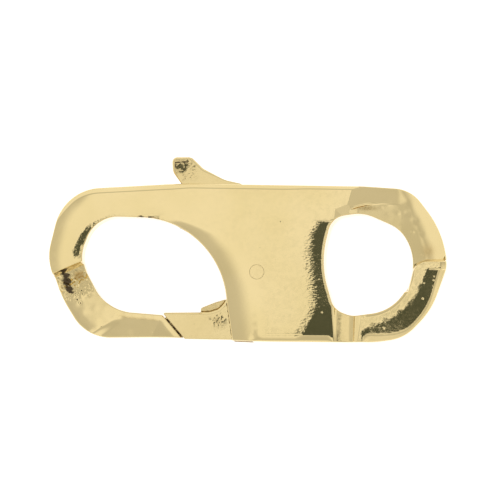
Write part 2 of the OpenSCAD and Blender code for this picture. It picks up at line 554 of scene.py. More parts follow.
@dataclass
class BroadFace:
    """One of the two broad faces of a flat part.

    The rim's radius and the shares of cast skin, painted shade and rough filing are each given by place.
    """

    height: Heights
    rim: Heights
    side: Side
    cast: Heights = nowhere
    painted_shade: Heights = nowhere
    filed: Heights = nowhere

    def shape(self, plan: Plan, at: np.ndarray,
              step: float = 0.008) -> tuple[np.ndarray, np.ndarray, np.ndarray]:
        """Heights and normals of the face.

        Args:
            plan: The part's plan.
            at: Plan points.
            step: Distance over which the slope is measured.

        Returns:
            Heights, unit normals and the distance to the edge in rim radii.
        """
        sign = self.side.value
        radius = self.rim(at)
        east, north = np.array((step, 0.0)), np.array((0.0, step))
        slope = np.stack([self.height(at + s) - self.height(at - s) for s in (east, north)], 1) / (2 * step)
        inward = np.stack([plan.near(at + s) - plan.near(at - s) for s in (east, north)], 1)
        inward /= np.maximum(np.hypot(inward[:, 0], inward[:, 1]), 1e-9)[:, None]
        depth = np.clip(plan.distance(at) / radius, 0, None)
        side = np.clip(1 - depth, 0, 1)
        lift = np.sqrt(1 - side * side)
        height = self.height(at) - sign * radius * (1 - lift)
        normal = np.concatenate([-slope * sign, np.full((len(at), 1), 1.0)], 1)
        normal = unit(normal) * lift[:, None]
        normal[:, :2] -= inward * side[:, None]
        normal[:, 2] *= sign
        return height, unit(normal), depth


@dataclass
class FaceMesher:
    """Cuts a broad face into triangles, finer where it bends.

    The error is the height left at the middle of an edge, the bend an angle between normals in degrees,
    and the rings are given in rim radii.
    """

    spacing: float = 0.32
    passes: int = 6
    error: float = 0.0012
    bend: float = 4.0
    shortest: float = 0.045
    patch: float = 0.16
    shortest_patch: float = 0.08
    rings: tuple[float, ...] = (0.076, 0.293, 0.617, 1.0)

    def cut(self, plan: Plan, face: BroadFace, rim: np.ndarray, edges: np.ndarray,
            creases: list[np.ndarray]) -> tuple[np.ndarray, np.ndarray]:
        """Makes the plan triangulation of one face.

        Args:
            plan: The part's plan.
            face: The face.
            rim: Plan points of the edge.
            edges: Directed pairs of rim points, solid on the left.
            creases: Lines that the triangles follow.

        Returns:
            Plan points and triangles inside the plan.
        """
        points, lines = self._start(plan, face, rim, edges, creases)
        for turn in range(self.passes + 1):
            made, triangles = triangulate(points, lines)
            middle = made[triangles].mean(1)
            triangles = triangles[plan.distance(middle) > 0]
            if turn < self.passes:
                extra = self._between(plan, face, made, triangles)
                if len(extra) == 0:
                    break
                points = np.concatenate([points, extra])
        return made, triangles

    def _start(self, plan: Plan, face: BroadFace, rim: np.ndarray, edges: np.ndarray,
               creases: list[np.ndarray]) -> tuple[np.ndarray, np.ndarray]:
        """Rim, rings beside it, creases and the first coarse points.

        Args:
            plan: The part's plan.
            face: The face.
            rim: Plan points of the edge.
            edges: Directed pairs of rim points.
            creases: Lines that the triangles follow.

        Returns:
            Points and the edges between them.
        """
        run = unit(rim[edges[:, 1]] - rim[edges[:, 0]])
        left = np.stack([-run[:, 1], run[:, 0]], 1)
        inward = np.zeros_like(rim)
        np.add.at(inward, edges[:, 0], left)
        np.add.at(inward, edges[:, 1], left)
        inward /= np.maximum((inward**2).sum(1), 1.0)[:, None] / 2
        radius = face.rim(rim)
        points, lines = [rim], [edges]
        count = len(rim)
        for share in self.rings:
            ring = rim + inward * (radius * share)[:, None]
            kept = np.abs(plan.distance(ring) - radius * share) < 0.25 * radius * share
            number = np.full(len(rim), -1)
            number[kept] = count + np.arange(kept.sum())
            both = kept[edges[:, 0]] & kept[edges[:, 1]]
            points.append(ring[kept])
            lines.append(number[edges[both]])
            count += int(kept.sum())
        for crease in creases:
            line = self._along(crease)
            depth = plan.distance(line)
            kept = depth > 0.002
            number = np.full(len(line), -1)
            number[kept] = count + np.arange(kept.sum())
            points.append(line[kept])
            pairs = np.stack([number[:-1], number[1:]], 1)
            lines.append(pairs[(pairs >= 0).all(1)])
            count += int(kept.sum())
        low, high = rim.min(0), rim.max(0)
        x = np.arange(low[0], high[0], self.spacing)
        y = np.arange(low[1], high[1], self.spacing * 0.866)
        grid = np.stack(np.meshgrid(x, y, indexing="ij"), -1)
        grid[:, 1::2, 0] += self.spacing / 2
        grid = grid.reshape(-1, 2)
        depth = plan.distance(grid)
        points.append(grid[depth > face.rim(grid) + 0.3 * self.spacing])
        return np.concatenate(points), np.concatenate(lines)

    @staticmethod
    def _along(line: np.ndarray, step: float = 0.07) -> np.ndarray:
        """Evenly spaced points along an open line.

        Args:
            line: Points of the line.
            step: Spacing.

        Returns:
            The spaced points.
        """
        run = np.concatenate([[0], np.cumsum(np.linalg.norm(np.diff(line, axis=0), axis=1))])
        at = np.linspace(0, run[-1], max(2, int(run[-1] / step)))
        return np.stack([np.interp(at, run, line[:, k]) for k in range(2)], 1)

    def _between(self, plan: Plan, face: BroadFace, points: np.ndarray, triangles: np.ndarray) -> np.ndarray:
        """Middles of the edges that need cutting.

        Args:
            plan: The part's plan.
            face: The face.
            points: Plan points.
            triangles: Triangles inside the plan.

        Returns:
            New plan points.
        """
        used = np.unique(triangles)
        height = np.zeros(len(points))
        normal = np.zeros((len(points), 3))
        depth = np.zeros(len(points))
        height[used], normal[used], depth[used] = face.shape(plan, points[used])
        pair = np.unique(np.sort(half_edges(triangles), axis=1), axis=0)
        a, b = pair.T
        length = np.linalg.norm(points[a] - points[b], axis=1)
        inner = np.maximum(depth[a], depth[b]) > 1.001
        pair = pair[(length > self.shortest) & inner]
        a, b = pair.T
        middle = (points[a] + points[b]) / 2
        off = np.abs(face.height(middle) - (height[a] + height[b]) / 2)
        rimmed = np.minimum(depth[a], depth[b]) < 0.999
        turn = (normal[a] * normal[b]).sum(1) < math.cos(math.radians(self.bend))
        share = np.zeros(len(points))
        share[used] = face.cast(points[used]) + face.painted_shade(points[used])
        length = np.linalg.norm(points[a] - points[b], axis=1)
        patch = (np.abs(share[a] - share[b]) > self.patch) & (length > self.shortest_patch)
        cut = ((off > self.error) | turn | patch) & ~rimmed
        fresh = middle[cut]
        return fresh[plan.distance(fresh) > face.rim(fresh) * 1.05]


class FlatPart:
    """Closed mesh of a flat part with two broad faces and, where it has one, a slot between them."""

    def __init__(self, plan: Plan, front: BroadFace, back: BroadFace, slot: Plan | None = None) -> None:
        """Works out the edge lines that both faces share.

        Args:
            plan: The part's plan.
            front: The front face.
            back: The back face.
            slot: Plan of the slot between the cheek plates.
        """
        self.plan, self.front, self.back, self.slot = plan, front, back, slot
        outlines = plan.solids + plan.voids + (slot.solids if slot else [])
        start, points, lines = 0, [], []
        for outline in outlines:
            count = len(outline.points)
            number = start + np.arange(count)
            points.append(outline.points)
            lines.append(np.stack([number, np.roll(number, -1)], 1))
            start += count
        made, triangles = triangulate(np.concatenate(points), np.concatenate(lines))
        middle = made[triangles].mean(1)
        solid = plan.distance(middle) > 0
        hollow = solid & (slot.distance(middle) > 0) if slot else np.zeros(len(middle), bool)
        count = len(made)
        rim = border(triangles[solid], count)
        self.slot_triangles = triangles[hollow]
        self.open_rim = self._shared(rim, border(triangles[hollow], count), count)
        self.full_rim = self._others(rim, self.open_rim, count)
        cheek = border(triangles[solid & ~hollow], count)
        self.slot_rim = self._others(cheek, rim, count)
        self.rim = rim
        self.points = made

    @staticmethod
    def _shared(edges: np.ndarray, others: np.ndarray, count: int) -> np.ndarray:
        """Edges that are also among the others."""
        return edges[np.isin(edges[:, 0] * count + edges[:, 1], others[:, 0] * count + others[:, 1])]

    @staticmethod
    def _others(edges: np.ndarray, left_out: np.ndarray, count: int) -> np.ndarray:
        """Edges that are not among those left out."""
        return edges[~np.isin(edges[:, 0] * count + edges[:, 1], left_out[:, 0] * count + left_out[:, 1])]

    def _face(self, face: BroadFace, mesher: FaceMesher, creases: list[np.ndarray],
              rim_numbers: np.ndarray) -> tuple[np.ndarray, np.ndarray, np.ndarray, np.ndarray]:
        """One broad face as points, normals and triangles.

        Args:
            face: The face.
            mesher: Settings of the triangles.
            creases: Lines that the triangles follow.
            rim_numbers: Numbers of the rim points in the shared list.

        Returns:
            Points in space, normals at the triangles' corners, triangles, and the number of each rim point.
        """
        place = np.full(len(self.points), -1)
        place[rim_numbers] = np.arange(len(rim_numbers))
        flat, triangles = mesher.cut(self.plan, face, self.points[rim_numbers], place[self.rim], creases)
        used, packed = np.unique(triangles, return_inverse=True)
        triangles = packed.reshape(triangles.shape)
        flat = flat[used]
        tree = tree_of(flat)
        found = [tree.find((x, y, 0.0)) for x, y in self.points[rim_numbers]]
        worst = max(f[2] for f in found)
        if worst > RIM_TOLERANCE:
            raise ValueError(f"a rim point was lost by {worst} mm")
        height, normal, depth = face.shape(self.plan, flat)
        corner = normal[triangles]
        bend = np.min([(corner[:, k] * corner[:, k - 1]).sum(1) for k in range(3)], axis=0)
        creased = (bend < math.cos(math.radians(CREASE_ANGLE))) & (depth[triangles].min(1) > 1.0)
        place = flat[triangles[creased]]
        drawn_in = (0.8 * place + 0.2 * place.mean(1, keepdims=True)).reshape(-1, 2)
        corner[creased] = face.shape(self.plan, drawn_in, 0.003)[1].reshape(-1, 3, 3)
        if face.side is Side.BACK:
            triangles, corner = triangles[:, ::-1], corner[:, ::-1]
        space = np.concatenate([flat, height[:, None]], 1)
        return space, corner, triangles, np.array([f[1] for f in found])

    def build(self, name: str, mesher: FaceMesher, front_creases: list[np.ndarray],
              back_creases: list[np.ndarray]) -> bpy.types.Object:
        """Makes the closed mesh.

        Args:
            name: Name of the piece.
            mesher: Settings of the triangles.
            front_creases: Lines that the front's triangles follow.
            back_creases: Lines that the back's triangles follow.

        Returns:
            The new object.
        """
        rim_numbers = np.unique(self.rim)
        top = self._face(self.front, mesher, front_creases, rim_numbers)
        bottom = self._face(self.back, mesher, back_creases, rim_numbers)
        in_slot = np.unique(np.concatenate([self.slot_rim.ravel(), self.slot_triangles.ravel()]))
        shared = np.union1d(self.rim, in_slot)
        row = np.full(len(self.points), -1)
        row[shared] = np.arange(len(shared))
        top_z, bottom_z = np.full(len(self.points), THICKNESS), np.zeros(len(self.points))
        top_z[rim_numbers] = top[0][top[3], 2]
        bottom_z[rim_numbers] = bottom[0][bottom[3], 2]
        high = bottom_z + (top_z - bottom_z) * 2 / 3
        low = bottom_z + (top_z - bottom_z) / 3
        high[in_slot] = THICKNESS - CHEEK
        low[in_slot] = CHEEK
        levels = [np.stack([*self.points[shared].T, z[shared]], 1) for z in (bottom_z, low, high, top_z)]
        count = len(shared)
        vertices = np.concatenate([*levels, top[0], bottom[0]])
        faces, normals = [], []
        shares = np.zeros((3, len(vertices)))
        hidden = np.zeros(len(self.points))
        hidden[in_slot] = 1.0
        shares[0, count:3 * count] = np.tile(hidden[shared], 2)

        def sheet(face: BroadFace, data: tuple[np.ndarray, ...], level: int, start: int) -> None:
            """Adds a broad face, with its rim points taken from the walls.

            Args:
                face: The face.
                data: Its points, corner normals, triangles and rim point numbers.
                level: Level of the walls that its rim lies on.
                start: Number of its first point.
            """
            number = start + np.arange(len(data[0]))
            number[data[3]] = level * count + row[rim_numbers]
            faces.append(number[data[2]])
            normals.append(data[1])
            for share, function in zip(shares, (face.cast, face.painted_shade, face.filed)):
                share[number] = function(data[0][:, :2])

        sheet(self.front, top, 3, 4 * count)
        sheet(self.back, bottom, 0, 4 * count + len(top[0]))
        outward = self._outward(self.rim)
        full, cheeks = ((0, 1), (1, 2), (2, 3)), ((0, 1), (2, 3))
        for edges, bands in ((self.full_rim, full), (self.open_rim, cheeks)):
            for under, over in bands:
                self._wall(faces, normals, row[edges], edges, outward, under * count, over * count)
        if len(self.slot_rim):
            self._wall(faces, normals, row[self.slot_rim], self.slot_rim, None, count, 2 * count)
            for level, flip, z in ((2, True, -1.0), (1, False, 1.0)):
                triangles = row[self.slot_triangles] + level * count
                faces.append(triangles[:, ::-1] if flip else triangles)
                normals.append(np.tile((0.0, 0.0, z), (len(triangles), 3, 1)))
        return make_mesh(name, vertices, np.concatenate(faces), np.concatenate(normals), shares)

    def _sides(self, edges: np.ndarray) -> np.ndarray:
        """Outward unit wall normals of directed edges that have the solid on their left."""
        run = unit(self.points[edges[:, 1]] - self.points[edges[:, 0]])
        return np.stack([run[:, 1], -run[:, 0], np.zeros(len(run))], 1)

    def _outward(self, edges: np.ndarray) -> dict[tuple[int, int], np.ndarray]:
        """Outward wall normals at the ends of each rim edge, shared where the rim runs smoothly.

        Args:
            edges: Directed rim edges.

        Returns:
            The two normals of each edge, keyed by the edge.
        """
        side = self._sides(edges)
        leaving = {int(a): i for i, (a, _) in enumerate(edges)}
        coming = {int(b): i for i, (_, b) in enumerate(edges)}
        made = {}
        for i, (a, b) in enumerate(edges.tolist()):
            ends = []
            for other in (coming.get(a, i), leaving.get(b, i)):
                smooth = side[i] @ side[other] > math.cos(math.radians(WALL_ANGLE))
                mean = side[i] + side[other] if smooth else side[i]
                ends.append(mean / np.linalg.norm(mean))
            made[a, b] = np.array(ends)
        return made

    def _wall(self, faces: list[np.ndarray], normals: list[np.ndarray], rows: np.ndarray, edges: np.ndarray,
              outward: dict[tuple[int, int], np.ndarray] | None, under: int, over: int) -> None:
        """Adds a strip of wall between two levels.

        Args:
            faces: List that takes the triangles.
            normals: List that takes their corner normals.
            rows: The edges as rows of a level.
            edges: The edges as plan points.
            outward: Normals at the ends of each edge, or None for flat strips.
            under: First number of the lower level.
            over: First number of the upper level.
        """
        if len(edges) == 0:
            return
        a, b = rows.T
        faces.append(np.stack([a + under, b + under, b + over], 1))
        faces.append(np.stack([a + under, b + over, a + over], 1))
        if outward is None:
            side = self._sides(edges)
            ends = np.stack([side, side], 1)
        else:
            ends = np.array([outward[a, b] for a, b in edges.tolist()])
        normals.append(ends[:, [0, 1, 1]])
        normals.append(ends[:, [0, 1, 0]])


def link_object(name: str, data: bpy.types.ID) -> bpy.types.Object:
    """Makes an object and links it to the scene.

    Args:
        name: Its name.
        data: Its mesh or camera.

    Returns:
        The new object.
    """
    made = bpy.data.objects.new(name, data)
    bpy.context.scene.collection.objects.link(made)
    return made


def make_mesh(name: str, vertices: np.ndarray, triangles: np.ndarray, normals: np.ndarray,
              shares: np.ndarray) -> bpy.types.Object:
    """Makes an object from triangles in millimetres, inside the CAD box.

    Args:
        name: Name of the piece.
        vertices: Points in millimetres.
        triangles: Triangles.
        normals: Unit normal at each triangle corner.
        shares: Shares of cast skin, of painted shade and of rough filing at each point.

    Returns:
        The new object, linked to the scene.
    """
    used, packed = np.unique(triangles, return_inverse=True)
    triangles = packed.reshape(triangles.shape)
    vertices = np.clip(vertices[used] * MM, np.array(cad_box[0]), np.array(cad_box[1]))
    mesh = bpy.data.meshes.new(name)
    mesh.from_pydata(vertices.tolist(), [], triangles.tolist())
    mesh.validate()
    mesh.shade_smooth()
    mesh.normals_split_custom_set(normals.reshape(-1, 3).tolist())
    for share, values in zip((CAST_SHARE, PAINTED_SHADE_SHARE, FILED_SHARE), shares[:, used]):
        mesh.attributes.new(share, "FLOAT", "POINT").data.foreach_set("value", values.astype(np.float32))
    return link_object(name, mesh)


class NodeGraph:
    """Thin hand for adding and joining the nodes of one tree."""

    def __init__(self, tree: bpy.types.NodeTree) -> None:
        """Keeps the tree and clears it."""
        self.tree = tree
        tree.nodes.clear()

    def add(self, kind: str, inputs: dict[str | int, object] | None = None,
            **settings: object) -> bpy.types.Node:
        """Adds a node and fills its inputs.

        Args:
            kind: Blender's name of the node type.
            inputs: Values or output sockets by input name or number.
            **settings: Properties of the node.

        Returns:
            The new node.
        """
        node = self.tree.nodes.new(kind)
        for name, value in settings.items():
            setattr(node, name, value)
        for name, value in (inputs or {}).items():
            if isinstance(value, bpy.types.NodeSocket):
                self.tree.links.new(value, node.inputs[name])
            else:
                node.inputs[name].default_value = value
        return node

    def math(self, operation: str, *values: object, clamp: bool = False) -> bpy.types.NodeSocket:
        """Adds a Math node on numbers or sockets and gives its output."""
        node = self.add("ShaderNodeMath", dict(enumerate(values)), operation=operation, use_clamp=clamp)
        return node.outputs[0]

    def mix(self, share: bpy.types.NodeSocket, first: object, second: object) -> bpy.types.NodeSocket:
        """Adds a Mix node for two colours.

        Args:
            share: Share of the second colour.
            first: Colour or socket.
            second: Colour or socket.

        Returns:
            Its output.
        """
        node = self.add("ShaderNodeMix", {"Factor": share}, data_type="RGBA")
        for socket, colour in ((node.inputs[6], first), (node.inputs[7], second)):
            if isinstance(colour, bpy.types.NodeSocket):
                self.tree.links.new(colour, socket)
            else:
                socket.default_value = (*colour, 1.0)
        return node.outputs[2]

    def spread(self, value: object, low: float, high: float, to_low: float = 0.0,
               to_high: float = 1.0) -> bpy.types.NodeSocket:
        """Adds a smooth Map Range node and gives its output."""
        inputs = {"Value": value, "From Min": low, "From Max": high, "To Min": to_low, "To Max": to_high}
        return self.add("ShaderNodeMapRange", inputs, interpolation_type="SMOOTHSTEP").outputs["Result"]

    def noise(self, at: bpy.types.NodeSocket, scale: float, detail: float) -> bpy.types.NodeSocket:
        """Adds a Noise Texture node and gives its output."""
        return self.add("ShaderNodeTexNoise", {"Vector": at, "Scale": scale, "Detail": detail}).outputs["Fac"]

    def times(self, first: object, second: object) -> bpy.types.NodeSocket:
        """Adds a product."""
        return self.math("MULTIPLY", first, second)

    def plus(self, first: object, second: object) -> bpy.types.NodeSocket:
        """Adds a sum."""
        return self.math("ADD", first, second)

    def less(self, first: object, second: object) -> bpy.types.NodeSocket:
        """Adds a difference."""
        return self.math("SUBTRACT", first, second)

    def mapped(self, at: bpy.types.NodeSocket, scale: tuple[float, float, float],
               turn: float = 0.0) -> bpy.types.NodeSocket:
        """Adds a Mapping node that scales coordinates and turns them about Z, in radians."""
        inputs = {"Vector": at, "Rotation": (0.0, 0.0, turn), "Scale": scale}
        return self.add("ShaderNodeMapping", inputs).outputs["Vector"]

    def metal(self, colour: bpy.types.NodeSocket, rough: bpy.types.NodeSocket,
              normal: bpy.types.NodeSocket) -> None:
        """Ends the tree with a bare metal surface.

        Args:
            colour: Its colour.
            rough: Its roughness.
            normal: Its normal.
        """
        inputs = {"Base Color": colour, "Metallic": 1.0, "Roughness": rough, "Normal": normal}
        shader = self.add("ShaderNodeBsdfPrincipled", inputs)
        self.add("ShaderNodeOutputMaterial", {"Surface": shader.outputs["BSDF"]})


def new_material(name: str) -> tuple[bpy.types.Material, NodeGraph]:
    """Makes an empty material.

    Args:
        name: Its name.

    Returns:
        The material and the graph of its nodes.
    """
    made = bpy.data.materials.new(name)
    made.use_nodes = True
    return made, NodeGraph(made.node_tree)


@dataclass(frozen=True)
class PolishedGold:
    """Polished pale yellow gold with the fine unevenness that polishing a casting leaves.

    Colours are linear, heights are in metres and turns in radians.
    """

    name: str
    colour: tuple[float, float, float] = (0.86, 0.69, 0.352)
    deep: tuple[float, float, float] = (0.82, 0.655, 0.318)
    cast: tuple[float, float, float] = (0.60, 0.42, 0.165)
    # Near-black colour painted where shade and dark reflections fall: gaps, creases, under edges and the
    # hook's hollow.
    painted_shade: tuple[float, float, float] = (0.10, 0.072, 0.04)
    roughness: tuple[float, float] = (0.05, 0.085)
    sway: float = 1.6e-6
    peel: float = 6e-7
    filing: float = 6e-6
    pits: float = 3e-6
    scratch: float = 7e-8
    broad_scale: float = 240.0
    fine_scale: float = 4200.0
    sway_scale: float = 900.0
    peel_scale: float = 5200.0
    pit_scale: float = 1500.0
    scratch_scale: tuple[float, float, float] = (900.0, 30000.0, 900.0)
    scratch_turn: float = 0.35
    filing_scale: tuple[float, float, float] = (4600.0, 9500.0, 4600.0)
    filing_turn: float = 0.25
    cast_rough: float = 0.30
    painted_shade_rough: float = 0.15

    def material(self) -> bpy.types.Material:
        """Builds the material.

        Returns:
            The new material.
        """
        made, graph = new_material(self.name)
        at = graph.add("ShaderNodeTexCoord").outputs["Object"]
        cast, painted_shade, filed = (graph.add("ShaderNodeAttribute", attribute_name=name,
                                        attribute_type="GEOMETRY").outputs["Fac"]
                              for name in (CAST_SHARE, PAINTED_SHADE_SHARE, FILED_SHARE))
        broad, fine = graph.noise(at, self.broad_scale, 2.0), graph.noise(at, self.fine_scale, 3.0)
        skin = graph.mix(graph.spread(broad, 0.35, 0.68), self.colour, self.deep)
        patchy = graph.times(cast, graph.spread(fine, 0.2, 0.55, 0.55, 1.0))
        skin = graph.mix(patchy, skin, self.cast)
        # Painted shade: the shade share, broken up by noise, turns the colour near-black and a little
        # rougher.
        torn = graph.noise(at, self.fine_scale, 4.0)
        shade_amount = graph.spread(graph.plus(painted_shade, graph.times(torn, 1.6)), 1.22, 1.5)
        skin = graph.mix(shade_amount, skin, self.painted_shade)
        low, high = self.roughness
        rough = graph.plus(graph.spread(fine, 0.3, 0.7, low, high), graph.times(cast, self.cast_rough))
        rough = graph.math("ADD", rough, graph.times(shade_amount, self.painted_shade_rough), clamp=True)
        graph.metal(skin, rough, self._relief(graph, at, cast, filed))
        return made

    def _relief(self, graph: NodeGraph, at: bpy.types.NodeSocket, cast: bpy.types.NodeSocket,
                filed: bpy.types.NodeSocket) -> bpy.types.NodeSocket:
        """Adds the fine relief.

        Args:
            graph: The material's nodes.
            at: Object coordinates.
            cast: Share of cast skin.
            filed: Share of rough filing.

        Returns:
            The normal.
        """
        sway, peel = graph.noise(at, self.sway_scale, 1.0), graph.noise(at, self.peel_scale, 2.0)
        lines = graph.noise(graph.mapped(at, self.scratch_scale, self.scratch_turn), 1.0, 2.0)
        spots = graph.add("ShaderNodeTexVoronoi", {"Vector": at, "Scale": self.pit_scale, "Randomness": 1.0})
        chosen = graph.add("ShaderNodeSeparateColor", {0: spots.outputs["Color"]}).outputs[0]
        hole = graph.spread(spots.outputs["Distance"], 0.03, 0.11)
        pit = graph.math("MINIMUM", graph.plus(hole, graph.spread(chosen, 0.14, 0.16)), 1.0)
        grit = graph.times(peel, graph.plus(graph.times(cast, 10.0), 1.0))
        strokes = graph.noise(graph.mapped(at, self.filing_scale, self.filing_turn), 1.0, 1.5)
        strokes = graph.times(strokes, filed)
        normal = None
        for height, distance in ((sway, self.sway), (grit, self.peel), (strokes, self.filing),
                                 (lines, self.scratch), (pit, self.pits)):
            inputs = {"Height": height, "Distance": distance}
            if normal is not None:
                inputs["Normal"] = normal
            normal = graph.add("ShaderNodeBump", inputs).outputs["Normal"]
        return normal


@dataclass(frozen=True)
class DrawnSteel:
    """Spring wire, drawn through a die: grey with fine lines along it.

    Its colour is linear, and the height of the lines is in metres.
    """

    name: str
    colour: tuple[float, float, float] = (0.56, 0.55, 0.53)
    roughness: tuple[float, float] = (0.22, 0.4)
    line_height: float = 1.5e-6
    line_scale: tuple[float, float, float] = (26000.0, 900.0, 26000.0)
    darkest: float = 0.7

    def material(self) -> bpy.types.Material:
        """Builds the material.

        Returns:
            The new material.
        """
        made, graph = new_material(self.name)
        at = graph.add("ShaderNodeTexCoord").outputs["Object"]
        lines = graph.noise(graph.mapped(at, self.line_scale), 1.0, 3.0)
        dark = tuple(self.darkest * part for part in self.colour)
        skin = graph.mix(graph.spread(lines, 0.3, 0.6), dark, self.colour)
        rough = graph.spread(lines, 0.3, 0.7, *self.roughness)
        bump = graph.add("ShaderNodeBump", {"Height": lines, "Distance": self.line_height}).outputs["Normal"]
        graph.metal(skin, rough, bump)
        return made


@dataclass(frozen=True)
class GateJoint:
    """Slanted joint between the hook's tip and the gate, with the lip that the tip has under the gate.

    Its ends are at the hook opening and at the outline, and its sides are the left, right and upper side
    of the part of the plan round it.
    """

    inner: tuple[float, float] = (-5.33, -3.38)
    outer: tuple[float, float] = (-4.13, -4.75)
    reach: float = 0.4
    inner_margin: float = 0.03
    outer_margin: float = 0.12
    wall: float = 0.012
    sides: tuple[float, float, float] = (-6.0, -3.4, -2.9)

    @property
    def run(self) -> np.ndarray:
        """Direction of the joint, from its inner to its outer end."""
        line = np.subtract(self.outer, self.inner)
        return line / np.linalg.norm(line)

    @property
    def faces(self) -> np.ndarray:
        """Direction from the hook's tip toward the gate."""
        return np.array((-self.run[1], self.run[0]))

    def beyond(self, at: np.ndarray) -> np.ndarray:
        """Distance from the tip's end face toward the gate."""
        return (at - self.inner) @ self.faces

    def around(self, at: np.ndarray) -> np.ndarray:
        """Whether plan points lie in the part round the joint."""
        left, right, upper = self.sides
        return (at[:, 0] > left) & (at[:, 0] < right) & (at[:, 1] < upper)

    def lip_corners(self) -> Corners:
        """Corners that the lip adds to the hook opening.

        Returns:
            The corners, from its outer to its inner end.
        """
        inner = self.run * self.inner_margin + self.inner
        outer = self.outer - self.run * self.outer_margin
        wall, reach = self.faces * self.wall, self.faces * self.reach
        return [(*p, 0.0) for p in (outer, outer + wall, outer + reach, inner + reach, inner + wall, inner)]

    def creases(self, rim: float) -> list[np.ndarray]:
        """Lines along the joint that the triangles follow.

        Args:
            rim: Radius of the tip's rounded rim.

        Returns:
            The lines.
        """
        start, end = self.inner - self.run * 0.6, self.outer + self.run * 0.6
        offsets = [-rim * share for share in (1.0, 0.6, 0.3, 0.1)] + [0.0, self.wall, 2.5 * self.wall]
        return [np.array((start, end)) + self.faces * offset for offset in offsets]


